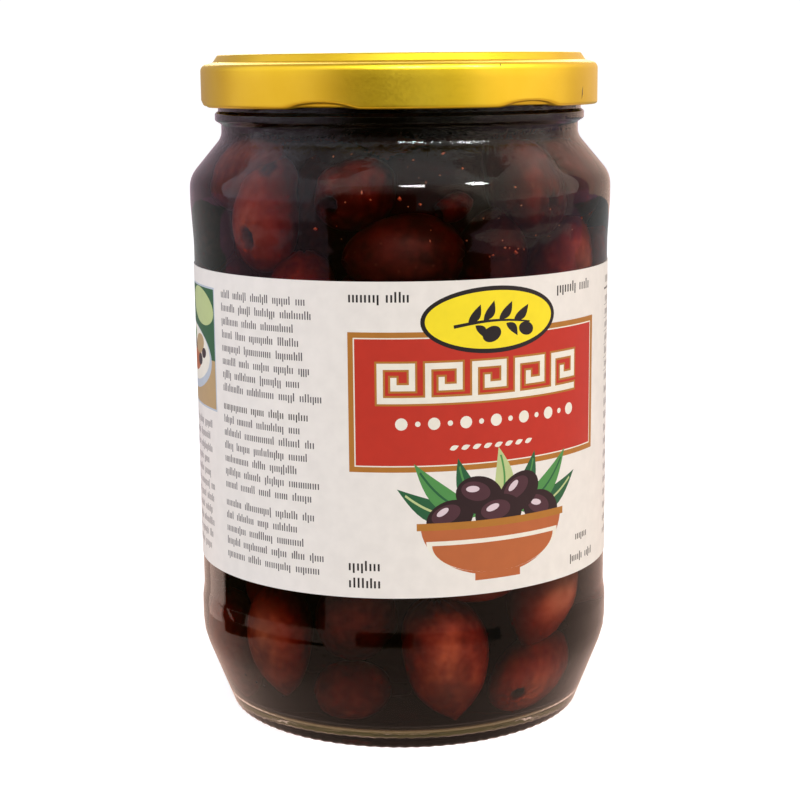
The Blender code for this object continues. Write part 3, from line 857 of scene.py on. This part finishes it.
LID_CORNERS = [
    (0, PANEL_HEIGHT - BUTTON_DIP, 0),
    (BUTTON_RADIUS - 0.9, PANEL_HEIGHT - BUTTON_DIP, 2),
    (BUTTON_RADIUS, PANEL_HEIGHT, 0.8),
    (RING_INNER - 1.2, PANEL_HEIGHT, 0.8),
    (RING_INNER, LID_TOP, 0.7),
    (RING_OUTER, LID_TOP, 0.6),
    (LEDGE_RADIUS, LID_TOP - 1.6, 0.5),
    (LID_RADIUS, LID_TOP - 2.2, 1.5),
    (LID_RADIUS, LID_BOTTOM + 4.0, 0),
    (LID_RADIUS, LID_BOTTOM, 0.6),
    (CURL_INNER, LID_BOTTOM, 0.55),
    (CURL_INNER, CURL_TOP, 0.5),
    (LID_RADIUS - SHEET, CURL_TOP + 0.1, 0.3),
    (LID_RADIUS - SHEET, LID_TOP - 2.2 - SHEET, 1.2),
    (LEDGE_RADIUS - 0.2, LID_TOP - 1.6 - SHEET, 0.4),
    (RING_OUTER - 0.3, LID_TOP - SHEET, 0.4),
    (RING_INNER + 0.2, LID_TOP - SHEET, 0.4),
    (RING_INNER - 1.0, PANEL_HEIGHT - SHEET, 0.4),
    (0, PANEL_HEIGHT - BUTTON_DIP - SHEET, 0),
]


def lid_shift(azimuth, r, z):
    """Pinches the lugs into the lower edge, each under an arch that is highest at its middle."""
    pitch = 360.0 / THREAD_STARTS
    away = abs((azimuth - LUG_AZIMUTH + pitch / 2) % pitch - pitch / 2) / LUG_HALF_WIDTH
    if away >= 1.0 or z > LID_BOTTOM + LUG_ARCH + 1.0:
        return r, z
    arch = LUG_ARCH * (1.0 - away * away)
    under = smooth_step((LID_BOTTOM + arch - z) / 0.8 + 0.3)
    push = LUG_DEPTH * smooth_step(2.0 * (1.0 - away)) * under
    return r - push, z + 0.4 * push


lid_outline = rounded_outline(LID_CORNERS, 8)
lid_outline = spaced(lid_outline, 0.3, LID_BOTTOM - 0.5, LID_BOTTOM + 4.0)
lid_outline = spaced(lid_outline, 3.0)
lid = finished("lid_pressed", turned(lid_outline, 288, lid_shift), [gold_lacquer], ["lid"])
print("lid faces:", len(lid.data.polygons))

# %% [markdown]
# ## Wear
#
# The jar has been handled. The lid's lacquer is chipped to dark metal in two slivers on its right, one on the
# skirt and one on the edge, and five dark specks cling to the glass low on the left. Each is a thin scale with
# four corners that stands a few hundredths of a millimetre off the surface.

# %% Add chips and specks
bare_metal = plain_material("chipped_lacquer", "#3a2410", 0.6)
dried_brine = plain_material("dried_brine_specks", "#1c1210", 0.7)


def scale_on(builder, azimuth, radius, height, wide, tall, lean):
    """A thin closed scale against a turned surface, with its long way up, leaning over by some degrees."""
    a, t = math.radians(azimuth), math.radians(lean)
    across, out = np.array([math.cos(a), math.sin(a), 0.0]), placed(azimuth, 1.0, 0.0)
    one = math.cos(t) * across + math.sin(t) * np.array([0.0, 0.0, 1.0])
    two = math.cos(t) * np.array([0.0, 0.0, 1.0]) - math.sin(t) * across
    middle = placed(azimuth, radius, height)
    rim = [
        0.5 * tall * two,
        0.5 * wide * one - 0.1 * tall * two,
        -0.5 * tall * two,
        -0.5 * wide * one + 0.15 * tall * two,
    ]
    made = [builder.verts.new(middle + r) for r in rim]
    front, back = builder.verts.new(middle + 0.03 * out), builder.verts.new(middle - 0.15 * out)
    for i in range(4):
        builder.faces.new((made[i], made[i - 1], front))
        builder.faces.new((made[i - 1], made[i], back))


def outer_radius(height):
    """The glass's outside radius at a height, read from its outline."""
    outline = rounded_outline(OUTER_CORNERS, 9)[3:]
    return float(np.interp(height, [p[1] for p in outline], [p[0] for p in outline]))


builder = bmesh.new()
scale_on(builder, 62.0, LID_RADIUS, 134.6, 0.45, 2.8, -14)
scale_on(builder, 27.8, LID_RADIUS - 0.12, 140.1, 0.3, 1.1, -10)
bmesh.ops.recalc_face_normals(builder, faces=builder.faces)
chips = finished("lid_chips", builder, [bare_metal])
builder = bmesh.new()
for azimuth, height, wide, tall in (
    (-51.0, 12.9, 0.5, 0.8),
    (-46.5, 12.0, 0.8, 0.6),
    (-43.5, 11.6, 0.5, 0.9),
    (-40.0, 11.9, 0.4, 0.5),
    (-37.0, 10.4, 0.7, 0.6),
):
    scale_on(builder, azimuth, outer_radius(height), height, wide, tall, 30)
bmesh.ops.recalc_face_normals(builder, faces=builder.faces)
specks = finished("glass_specks", builder, [dried_brine])
print("chips and specks:", len(chips.data.polygons) + len(specks.data.polygons), "faces")

# %% [markdown]
# ## Label paper and printing inks
#
# The label is coated paper: chalk and binder make it white, smooth and slightly glossy, and ink lies on it in
# flat areas. Each colour of the print is a material of its own on its own faces, so that every edge is as
# sharp as a printed one at any distance. All share one recipe: a satin surface with the faint cloudiness of
# ink on paper.

# %% Paper and ink materials
INKS = {
    "coated_label_paper": "#e9e4dc",
    "poster_red_ink": "#bf2608",
    "ochre_ink": "#b0721f",
    "lemon_yellow_ink": "#f6df08",
    "black_ink": "#1c1818",
    "cream_ink": "#ebe6d6",
    "text_grey_ink": "#4b474c",
    "olive_purple_ink": "#2a1519",
    "olive_plum_ink": "#4d2a33",
    "pink_white_ink": "#d9c6cc",
    "deep_green_ink": "#1f6038",
    "leaf_green_ink": "#4c9148",
    "pale_green_ink": "#b9c888",
    "terracotta_ink": "#b8622f",
    "tan_ink": "#b79a6b",
    "sky_grey_ink": "#b9c3cc",
    "label_back_paper": "#d9d4cb",
}


def printed(name, colour):
    """Coated paper in one printed colour. The clouding is about 3 mm and the paper's tooth about 0.4 mm."""
    made, tree, output = new_material(name)
    place = add_node(tree, "ShaderNodeTexCoord").outputs["Object"]
    cloud = add_node(tree, "ShaderNodeTexNoise", {"Vector": place, "Scale": 330.0, "Detail": 2.0})
    tooth = add_node(tree, "ShaderNodeTexNoise", {"Vector": place, "Scale": 2400.0, "Detail": 1.0})
    clouding = spread(tree, cloud.outputs["Fac"], 0.97, 1.03)
    ink = add_node(tree, "ShaderNodeVectorMath", {0: linear(colour)[:3], "Scale": clouding}, operation="SCALE")
    tooth_bump = add_node(
        tree, "ShaderNodeBump", {"Height": tooth.outputs["Fac"], "Strength": 0.15, "Distance": 0.00002}
    )
    bsdf = add_node(
        tree,
        "ShaderNodeBsdfPrincipled",
        {
            "Base Color": ink.outputs["Vector"],
            "Roughness": 0.42,
            "Specular IOR Level": 0.35,
            "Normal": tooth_bump.outputs["Normal"],
        },
    )
    tree.links.new(bsdf.outputs["BSDF"], output.inputs["Surface"])
    return made


ink_materials = {name: printed(name, colour) for name, colour in INKS.items()}
ink_number = {name: i for i, name in enumerate(INKS)}
print("inks:", len(INKS))

# %% [markdown]
# ## Drawing the print
#
# The print is laid out flat, as a printer would, in millimetres along the label from the front's middle and
# millimetres above the base. It is a list of filled shapes, each with its ink, and a later shape covers an
# earlier one. Small functions draw what the design needs: panels, ovals, leaves, and lines of short strokes
# that have the rhythm of small print but say nothing.

# %% Drawing helpers
print_shapes = []
TEXT_STROKE = 0.27


def fill(points, ink):
    """Adds a filled polygon; its points run anticlockwise."""
    area = sum(p[0] * q[1] - q[0] * p[1] for p, q in zip(points, points[1:] + points[:1]))
    print_shapes.append((points if area > 0 else points[::-1], ink))


def panel(left, right, low, high, ink):
    fill([(left, low), (right, low), (right, high), (left, high)], ink)


def oval(x, z, wide, high, ink, turn=0.0, points=36):
    """A filled ellipse of half-sizes wide and high, turned anticlockwise by turn degrees."""
    c, s = math.cos(math.radians(turn)), math.sin(math.radians(turn))
    ring = []
    for i in range(points):
        a = 2 * math.pi * i / points
        u, v = wide * math.cos(a), high * math.sin(a)
        ring.append((x + c * u - s * v, z + s * u + c * v))
    fill(ring, ink)


def leaf(x, z, length, width, turn, ink, vein=None, bow=0.12):
    """A pointed leaf that starts at (x, z) and runs in the direction turn, bowed a little, with a vein."""
    c, s = math.cos(math.radians(turn)), math.sin(math.radians(turn))

    def spot(share, off):
        u = length * share
        v = off + bow * length * math.sin(math.pi * share)
        return (x + c * u - s * v, z + s * u + c * v)

    steps = 12
    half = [0.5 * width * math.sin(math.pi * (k / steps) ** 0.85) for k in range(steps + 1)]
    upper = [spot(k / steps, half[k]) for k in range(steps + 1)]
    lower = [spot(k / steps, -half[k]) for k in range(1, steps)]
    fill(upper + lower[::-1], ink)
    if vein:
        middle = [spot(0.08 + 0.8 * k / steps, 0.05 * width) for k in range(steps + 1)]
        under = [spot(0.08 + 0.8 * k / steps, -0.05 * width) for k in range(steps + 1)]
        fill(middle + under[::-1], vein)


def stalk(points, thick, ink):
    """A tapering line along the points."""
    left, right = [], []
    for k, (x, z) in enumerate(points):
        ahead = points[min(k + 1, len(points) - 1)]
        behind = points[max(k - 1, 0)]
        dx, dz = ahead[0] - behind[0], ahead[1] - behind[1]
        run = math.hypot(dx, dz)
        wide = 0.5 * thick * (1 - 0.55 * k / (len(points) - 1))
        left.append((x - wide * dz / run, z + wide * dx / run))
        right.append((x + wide * dz / run, z - wide * dx / run))
    fill(left + right[::-1], ink)


def small_print(left, right, z, tall, rng, ink="text_grey_ink", stroke=TEXT_STROKE):
    """A line of upright strokes in word-like groups: the grey rhythm of small print without any letters."""
    x = left
    while x < right - 2.0:
        end = min(x + rng.uniform(3.0, 8.5), right)
        while x < end - stroke:
            over = 0.4 * tall if rng.random() < 0.22 else 0.0
            under = 0.35 * tall if rng.random() < 0.10 else 0.0
            panel(x, x + stroke, z - under, z + tall + over, ink)
            x += stroke + rng.uniform(0.9, 1.3) * stroke
        x += 1.05


print("drawing helpers ready")

# %% [markdown]
# ## The label's front
#
# A red panel in an ochre frame carries the front. Over it sits an oval badge with a sprig, across it runs a
# cream key pattern, one of the oldest borders there is, and below it a dish of dark olives with leaves
# overlaps the frame. Small strokes stand where small print would be.

# %% Draw the front
FLAT_RADIUS = BODY_RADIUS + 0.15  # a degree round the jar is this radius' degree on the flat sheet
LABEL_HALF = math.pi * FLAT_RADIUS * (180 - LABEL_ENDS_APART / 2) / 180
rng = np.random.default_rng(7)
panel(-LABEL_HALF, LABEL_HALF, LABEL_BOTTOM, LABEL_TOP, "coated_label_paper")
panel(-10.8, 49.0, 60.8, 89.0, "ochre_ink")
panel(-9.7, 47.9, 61.9, 87.9, "cream_ink")
panel(-9.45, 47.65, 62.15, 87.65, "poster_red_ink")

# The key pattern, one hook to each pitch.
KEY_LEFT, KEY_LOW, KEY_TALL, KEY_PITCH, KEY_COUNT = -5.0, 74.7, 8.1, 9.6, 5
KEY_STROKE = KEY_TALL / 6.6
for grow, ink in ((0.42, "ochre_ink"), (0.0, "cream_ink")):
    for k in range(KEY_COUNT):
        x, z, t = KEY_LEFT + k * KEY_PITCH, KEY_LOW, KEY_STROKE
        right = x + 6.2 * t
        bars = [
            (x, x + (KEY_PITCH if k < KEY_COUNT - 1 else 6.2 * t), z, z + t),
            (x, x + t, z, z + KEY_TALL),
            (x, right, z + KEY_TALL - t, z + KEY_TALL),
            (right - t, right, z + 2.1 * t, z + KEY_TALL),
            (x + 2.2 * t, right, z + 2.1 * t, z + 3.1 * t),
            (x + 2.2 * t, x + 3.2 * t, z + 2.1 * t, z + 4.3 * t),
        ]
        for left, far, low, high in bars:
            panel(left - grow, far + grow, low - grow, high + grow, ink)

# Two rows of small ornaments under it.
for k in range(13):
    x = -0.2 + k * 3.28
    oval(x, 70.6, 1.25 if k % 2 == 0 else 0.55, 1.25 if k % 2 == 0 else 0.55, "cream_ink", points=16)
for k in range(8):
    x = 9.5 + k * 2.4
    leaf(x, 65.2, 2.0, 1.0, 20, "cream_ink", bow=0.0)

# The oval badge.
BADGE_X, BADGE_Z = 18.9, 90.9
for wide, high, ink in ((15.2, 6.7, "black_ink"), (14.3, 5.8, "lemon_yellow_ink")):
    oval(BADGE_X, BADGE_Z, wide, high, ink, points=60)
stalk([(BADGE_X - 8.5 + 1.7 * k, BADGE_Z - 1.1 + 0.9 * math.sin(0.3 * k)) for k in range(11)], 0.7, "black_ink")
for k, (along, up, turn) in enumerate(((-5.5, 0.0, 55), (-2.2, 0.4, 60), (1.2, 0.5, 50), (4.6, 0.2, 40))):
    leaf(BADGE_X + along, BADGE_Z - 0.6 + up, 4.6, 1.9, turn, "black_ink", bow=-0.1)
for along, up, turn in ((-4.0, -1.0, -50), (2.8, -0.9, -45)):
    leaf(BADGE_X + along, BADGE_Z + up, 3.8, 1.7, turn, "black_ink")
oval(BADGE_X - 0.4, BADGE_Z - 2.9, 2.1, 1.55, "black_ink", turn=20)
oval(BADGE_X + 7.6, BADGE_Z - 2.3, 1.8, 1.35, "black_ink", turn=-15)

# The dish of olives with its leaves.
DISH_X = 20.0
for turn, long, wide, ink, vein in (
    (158, 17, 4.6, "deep_green_ink", "pale_green_ink"),
    (140, 18, 4.6, "leaf_green_ink", "deep_green_ink"),
    (118, 14, 4.2, "deep_green_ink", "leaf_green_ink"),
    (22, 17, 4.6, "deep_green_ink", "pale_green_ink"),
    (40, 18, 4.6, "leaf_green_ink", "deep_green_ink"),
    (62, 14, 4.2, "deep_green_ink", "leaf_green_ink"),
    (90, 14, 4.4, "pale_green_ink", "leaf_green_ink"),
):
    leaf(DISH_X + 0.08 * (90 - turn), 51.0, long, wide, turn, ink, vein, bow=0.1 if turn > 90 else -0.1)
for x, z, wide, high, turn in (
    (-10.5, 51.0, 5.0, 3.7, 20),
    (10.8, 51.0, 5.0, 3.7, -25),
    (-4.2, 55.4, 5.2, 3.9, -15),
    (5.0, 55.2, 5.2, 3.9, 30),
    (0.2, 51.2, 5.4, 4.0, 5),
):
    oval(DISH_X + x, z, wide, high, "olive_purple_ink", turn)
    oval(DISH_X + x - 0.8, z + 0.9, 0.62 * wide, 0.5 * high, "olive_plum_ink", turn)
    oval(DISH_X + x - 1.5, z + 1.4, 0.28 * wide, 0.17 * high, "pink_white_ink", turn + 12, points=18)
# The dish is a half oval, with a thin cream line round it where a smaller half oval covers a cream one.
for half_width, rim, depth, ink in (
    (16.5, 49.6, 11.0, "terracotta_ink"),
    (15.4, 46.4, 7.2, "cream_ink"),
    (14.2, 45.5, 6.3, "terracotta_ink"),
):
    turns = np.linspace(math.pi, 2 * math.pi, 33)
    fill([(DISH_X + half_width * math.cos(a), rim + depth * math.sin(a)) for a in turns], ink)
panel(DISH_X - 5.2, DISH_X + 5.2, 37.7, 39.2, "terracotta_ink")
panel(DISH_X - 17.3, DISH_X + 17.3, 48.7, 50.2, "ochre_ink")

# Small print round the front.
for left, right, z, tall, stroke in (
    (-10.5, 1.6, 94.9, 1.5, 0.4),
    (35.0, 49.8, 94.9, 1.5, 0.4),
    (-11.2, -3.6, 40.4, 1.5, 0.4),
    (-11.2, -1.6, 36.8, 1.5, 0.4),
    (42.2, 48.8, 41.9, 1.2, 0.35),
    (40.2, 50.0, 37.4, 1.2, 0.35),
):
    small_print(left, right, z, tall, rng, "black_ink", stroke)
print("front shapes:", len(print_shapes))

# %% [markdown]
# ## The label's sides and back
#
# A pack like this carries lines of small print beside a panel on its left side, and tables at the back. The
# panel is a plate of food reduced to a few fields of colour, and the lines are plain strokes.

# %% Draw the sides and back
SIDE_ROWS, PANEL_ROWS, BACK_ROWS = 20, 11, 19
for k in range(SIDE_ROWS):
    z = 93.9 - k * 2.78 - (1.1 if k > 7 else 0.0) - (1.1 if k > 14 else 0.0)
    small_print(-43.6, -16.0 - rng.uniform(0.0, 5.5), z, 1.2, rng, "black_ink" if k == 8 else "text_grey_ink")

panel(-84.5, -46.8, 69.3, 95.5, "sky_grey_ink")
panel(-84.1, -47.2, 69.7, 95.1, "deep_green_ink")
panel(-84.1, -47.2, 69.7, 80.0, "tan_ink")
oval(-75.0, 91.5, 8.5, 3.4, "leaf_green_ink")
oval(-55.0, 91.0, 7.6, 3.8, "pale_green_ink", turn=-10)
oval(-64.5, 79.5, 15.5, 7.2, "sky_grey_ink")
oval(-64.5, 80.3, 14.4, 6.2, "cream_ink")
for x, z, wide, high, ink in (
    (-70.0, 81.6, 4.8, 2.8, "tan_ink"),
    (-61.0, 79.0, 5.2, 2.6, "terracotta_ink"),
    (-57.5, 82.6, 3.8, 2.1, "tan_ink"),
    (-65.2, 83.8, 3.6, 1.7, "leaf_green_ink"),
    (-68.4, 78.4, 1.9, 1.3, "olive_purple_ink"),
    (-63.0, 81.9, 1.8, 1.3, "olive_purple_ink"),
    (-57.2, 79.2, 1.9, 1.3, "olive_purple_ink"),
    (-54.0, 80.9, 1.6, 1.1, "olive_purple_ink"),
):
    oval(x, z, wide, high, ink, turn=12, points=24)
for k in range(PANEL_ROWS):
    small_print(-84.0, -48.5 - rng.uniform(0.0, 4.0), 65.4 - k * 2.7, 1.2, rng)

for block_left, block_right in ((58.0, 92.0), (98.0, 130.0), (-131.0, -92.0)):
    panel(block_left, block_right, 93.2, 93.6, "black_ink")
    small_print(block_left + 1.0, block_right - 12.0, 94.6, 1.5, rng, "black_ink", stroke=0.4)
    for k in range(BACK_ROWS):
        z = 90.6 - k * 2.85
        if block_left > 90 or k < 6:
            small_print(block_left + 1.0, block_left + 17.0 - rng.uniform(0.0, 5.0), z, 1.2, rng)
            small_print(block_right - 8.0, block_right - 1.0, z, 1.2, rng)
            panel(block_left, block_right, z - 0.75, z - 0.65, "text_grey_ink")
        else:
            small_print(block_left + 1.0, block_right - rng.uniform(0.0, 6.0), z, 1.2, rng)
print("all shapes:", len(print_shapes))

# %% [markdown]
# ## Cutting and wrapping the label
#
# The flat drawing becomes one mesh: a constrained triangulation cuts the sheet along every printed edge and
# says which shapes cover each triangle, and the last of them gives its ink. Upright cut lines every 2.5
# degrees let the sheet bend. It is then wrapped round the glass and given the paper's thickness.

# %% Cut and wrap
PAPER = 0.12
WRAP_RADIUS = BODY_RADIUS + 0.04
flat_points, outlines = [], []
for points, _ in print_shapes:
    outlines.append(list(range(len(flat_points), len(flat_points) + len(points))))
    flat_points += [Vector(p) for p in points]
bend_lines = []
bends = round((360 - LABEL_ENDS_APART) / 2.5)
for k in range(1, bends):
    x = -LABEL_HALF + 2 * LABEL_HALF * k / bends
    flat_points += [Vector((x, LABEL_BOTTOM)), Vector((x, LABEL_TOP))]
    bend_lines.append((len(flat_points) - 2, len(flat_points) - 1))
cut_points, _, cut_faces, _, _, covers = delaunay_2d_cdt(flat_points, bend_lines, outlines, 1, 1e-5, True)

builder = bmesh.new()
front, back = [], []
for x, z in cut_points:
    azimuth = math.degrees(x / FLAT_RADIUS)
    front.append(builder.verts.new(placed(azimuth, WRAP_RADIUS + PAPER, z)))
    back.append(builder.verts.new(placed(azimuth, WRAP_RADIUS, z)))
for face, over in zip(cut_faces, covers):
    if not over:
        continue
    builder.faces.new([front[i] for i in face]).material_index = ink_number[print_shapes[max(over)][1]]
    builder.faces.new([back[i] for i in reversed(face)]).material_index = ink_number["label_back_paper"]
twin = dict(zip(front, back))
for edge in [e for e in builder.edges if len(e.link_faces) == 1 and e.verts[0] in twin]:
    one, two = edge.verts
    builder.faces.new((two, one, twin[one], twin[two]))
bmesh.ops.delete(builder, geom=[v for v in builder.verts if not v.link_faces], context="VERTS")
bmesh.ops.recalc_face_normals(builder, faces=builder.faces)
label = finished("printed_label", builder, list(ink_materials.values()), ["label"])
# A cut sheet has uneven triangles, so the normals are set to those of a true cylinder.
normals = []
for vertex in label.data.vertices:
    x, y = vertex.co.x, vertex.co.y
    side = 1.0 if math.hypot(x, y) > (WRAP_RADIUS + 0.5 * PAPER) * MM else -1.0
    normals.append(Vector((side * x, side * y, 0.0)).normalized())
label.data.normals_split_custom_set_from_vertices(normals)
print("label faces:", len(label.data.polygons))

# %% [markdown]
# ## Studio
#
# The jar stands on a white sweep in soft light from both sides and above, with two small flash heads high in
# front that give the broken highlights on the neck. Glass and lid are lit by what they mirror, so cards that
# only reflections see are set round them: black ones low in front, which let the eye into the glass and give
# the lid its dark band, a grey one over them, a white one behind, and a pale one on the sweep round the foot.

# %% Light and camera
ROOM_LIGHT = 0.48
ROOM_GLOSS = 0.52
scene = bpy.context.scene
world = bpy.data.worlds.new("white_room")
scene.world = world
world.use_nodes = True
tree = world.node_tree
seen_room = tree.nodes["Background"]
seen_room.inputs["Color"].default_value = (1.0, 1.0, 1.0, 1.0)
seen_room.inputs["Strength"].default_value = 1.05
lit_room = add_node(tree, "ShaderNodeBackground", {"Color": linear("#fbfbff"), "Strength": ROOM_LIGHT})
foot_room = add_node(tree, "ShaderNodeBackground", {"Color": linear("#9a8858"), "Strength": 0.28})
dim_room = add_node(tree, "ShaderNodeBackground", {"Color": linear("#f4d6dc"), "Strength": ROOM_GLOSS})
look = add_node(tree, "ShaderNodeLightPath").outputs
room = mixed(tree, look["Is Glossy Ray"], lit_room.outputs["Background"], dim_room.outputs["Background"])
room = mixed(tree, look["Is Transmission Ray"], room, foot_room.outputs["Background"])
room = mixed(tree, look["Is Camera Ray"], room, seen_room.outputs["Background"])
tree.links.new(room, tree.nodes["World Output"].inputs["Surface"])

# The sweep is overexposed in the picture, dim in reflections, and seen through the glass a painted shadow of the
# jar.
white_floor, tree, output = new_material("white_sweep_paper")
look = add_node(tree, "ShaderNodeLightPath").outputs
glow = add_node(tree, "ShaderNodeMath", {0: look["Is Camera Ray"], 1: 0.32, 2: 0.30}, operation="MULTIPLY_ADD")
floor_bsdf = add_node(
    tree,
    "ShaderNodeBsdfPrincipled",
    {
        "Base Color": linear("#f0f0f0"),
        "Roughness": 1.0,
        "Specular IOR Level": 0.0,
        "Emission Color": linear("#ffffff"),
        "Emission Strength": glow.outputs["Value"],
    },
)
reflected = add_node(tree, "ShaderNodeEmission", {"Color": linear("#f2c4dc"), "Strength": 0.7})
# Painted shadow: what the glass shows of the sweep is this flat dark colour, not the lit paper.
painted_jar_shadow = add_node(tree, "ShaderNodeEmission", {"Color": linear("#6a5836"), "Strength": 1.0})
sweep = mixed(tree, look["Is Glossy Ray"], floor_bsdf.outputs["BSDF"], reflected.outputs["Emission"])
sweep = mixed(tree, look["Is Transmission Ray"], sweep, painted_jar_shadow.outputs["Emission"])
tree.links.new(sweep, output.inputs["Surface"])
bpy.ops.mesh.primitive_plane_add(size=40.0, location=(0, 0, -0.0002))
floor = bpy.context.object
floor.name = "studio_floor"
floor.data.materials.append(white_floor)


def card(name, corners, radiance, colour="#ffffff"):
    """A card that only reflections see, bright or black as its radiance says."""
    material, tree, output = new_material(name)
    light = add_node(tree, "ShaderNodeEmission", {"Color": linear(colour), "Strength": radiance})
    tree.links.new(light.outputs["Emission"], output.inputs["Surface"])
    mesh = bpy.data.meshes.new(name)
    mesh.from_pydata(corners, [], [(0, 1, 2, 3)])
    mesh.materials.append(material)
    made = bpy.data.objects.new(name, mesh)
    scene.collection.objects.link(made)
    made.visible_camera = False
    made.visible_diffuse = False
    made.visible_transmission = False
    made.visible_shadow = False


def facing_jar(azimuth, elevation, distance, height):
    """The place and turn of something that looks at the jar from that direction, as a matrix."""
    a, e = math.radians(azimuth), math.radians(elevation)
    aim = Vector((0, 0, height))
    spot = aim + distance * Vector((math.sin(a) * math.cos(e), -math.cos(a) * math.cos(e), math.sin(e)))
    turn = (spot - aim).to_track_quat("Z", "Y").to_matrix().to_4x4()
    return Matrix.Translation(spot) @ turn


def facing_card(name, azimuth, elevation, distance, wide, tall, radiance):
    """A card that faces the jar's lid from that direction."""
    place = facing_jar(azimuth, elevation, distance, 0.13)
    square = ((-0.5, -0.5), (0.5, -0.5), (0.5, 0.5), (-0.5, 0.5))
    card(name, [place @ Vector((wide * x, tall * y, 0)) for x, y in square], radiance)


def floor_card(name, corners, radiance, colour="#ffffff", height=0.001):
    """A card that lies on the sweep."""
    card(name, [(x, y, height) for x, y in corners], radiance, colour)


def wall_card(name, y, left, right, low, high, radiance, colour="#ffffff"):
    """An upright card that faces the jar squarely from in front of it or behind it."""
    card(name, [(left, y, low), (right, y, low), (right, y, high), (left, y, high)], radiance, colour)


floor_card("dark_front_floor", [(-0.344, -0.45), (0.487, -0.45), (1.235, -1.1), (-0.87, -1.1)], 0.0)
floor_card("dark_lid_floor", [(-0.075, -0.18), (0.012, -0.18), (0.04, -0.45), (-0.215, -0.45)], 0.0)
floor_card("dark_right_floor", [(0.02, -0.26), (0.17, -0.15), (0.34, -0.28), (0.05, -0.45)], 0.2)
wall_card("dark_front", -1.1, -0.7, 0.16, 0.0, 0.36, 0.0)
wall_card("pale_front", -1.1, 0.16, 1.235, 0.0, 0.36, 0.34)
wall_card("grey_front", -1.1, -0.87, 1.235, 0.36, 1.3, 0.56, "#f4dad8")
wall_card("white_back", 1.2, -0.4, 0.4, 0.4, 1.3, 4.0)
wall_card("dim_back_left", 1.21, -2.0, -0.3, 0.0, 1.8, 0.52, "#f6dcea")
wall_card("dim_back_right", 1.21, 0.3, 2.0, 0.0, 1.8, 0.95, "#ffdccb")
floor_card("dim_back_floor", [(-1.2, 0.3), (1.2, 0.3), (1.2, 1.2), (-1.2, 1.2)], 0.35)
facing_card("bright_above", 5, 60, 0.95, 1.38, 0.52, 1.5)
facing_card("dark_above", 0, 88, 1.3, 0.7, 0.7, 0.0)
facing_card("left_flash", 7.5, 42, 1.0, 0.20, 0.20, 70.0)
facing_card("right_flash", 49, 42, 1.0, 0.15, 0.20, 70.0)
# Three pieces of black card lie on the sweep left of the jar, a patch of strong light falls behind them, and
# under all of it a pale sheet lies round the jar.
floor_card("dark_scrap_back", [(-0.160, 0.051), (-0.095, 0.011), (-0.106, -0.042), (-0.165, -0.047)], 0.0)
floor_card("dark_scrap_left", [(-0.165, -0.047), (-0.106, -0.042), (-0.076, -0.103), (-0.115, -0.142)], 0.0)
floor_card("dark_strip_left", [(-0.17, -0.006), (-0.55, -0.02), (-0.523, 0.17), (-0.162, 0.0525)], 0.0)
floor_card("bright_patch", [(-0.101, 0.019), (-0.147, 0.049), (-0.116, 0.093), (-0.085, 0.047)], 1.7, "#f2cfc0")
floor_card("pale_near_floor", [(-0.3, -0.42), (0.3, -0.42), (0.3, 0.2), (-0.3, 0.2)], 0.9, "#f6d2c2", 0.0005)


def softbox(name, azimuth, elevation, distance, wide, tall, radiance, colour):
    """A lamp that faces the jar. Its power is what gives its face that radiance."""
    lamp = bpy.data.lights.new(name, "AREA")
    lamp.shape = "RECTANGLE"
    lamp.size, lamp.size_y = wide, tall
    lamp.energy = radiance * math.pi * wide * tall
    lamp.color = linear(colour)[:3]
    holder = bpy.data.objects.new(name, lamp)
    holder.matrix_world = facing_jar(azimuth, elevation, distance, 0.08)
    scene.collection.objects.link(holder)


softbox("left_softbox", -78, 28, 1.2, 1.6, 1.3, 0.85, "#eeeeff")
softbox("right_softbox", 72, 28, 1.2, 2.0, 1.3, 1.05, "#ffefdf")
softbox("top_softbox", 5, 60, 1.1, 1.6, 0.6, 0.6, "#fffaf2")

CAMERA_BACK, CAMERA_HEIGHT, CAMERA_PITCH, CAMERA_ROLL = 0.4009, 0.14017, 0.2016, -0.0093
camera_data = bpy.data.cameras.new("camera")
camera_data.sensor_width = 36.0
camera_data.lens = 82.23
camera_data.shift_x = -0.00304
camera_data.shift_y = 0.05
camera_data.clip_start = 0.01
camera = bpy.data.objects.new("camera", camera_data)
camera.matrix_world = (
    Matrix.Translation((0, -CAMERA_BACK, CAMERA_HEIGHT))
    @ Matrix.Rotation(math.pi / 2 - CAMERA_PITCH, 4, "X")
    @ Matrix.Rotation(CAMERA_ROLL, 4, "Z")
)
scene.collection.objects.link(camera)
scene.camera = camera

scene.view_settings.view_transform = "Standard"
scene.cycles.max_bounces = 18
scene.cycles.transmission_bounces = 16
scene.cycles.transparent_max_bounces = 16
scene.cycles.glossy_bounces = 6
scene.cycles.diffuse_bounces = 4
scene.cycles.sample_clamp_indirect = 6.0
print("camera at", [round(v, 4) for v in camera.matrix_world.translation])
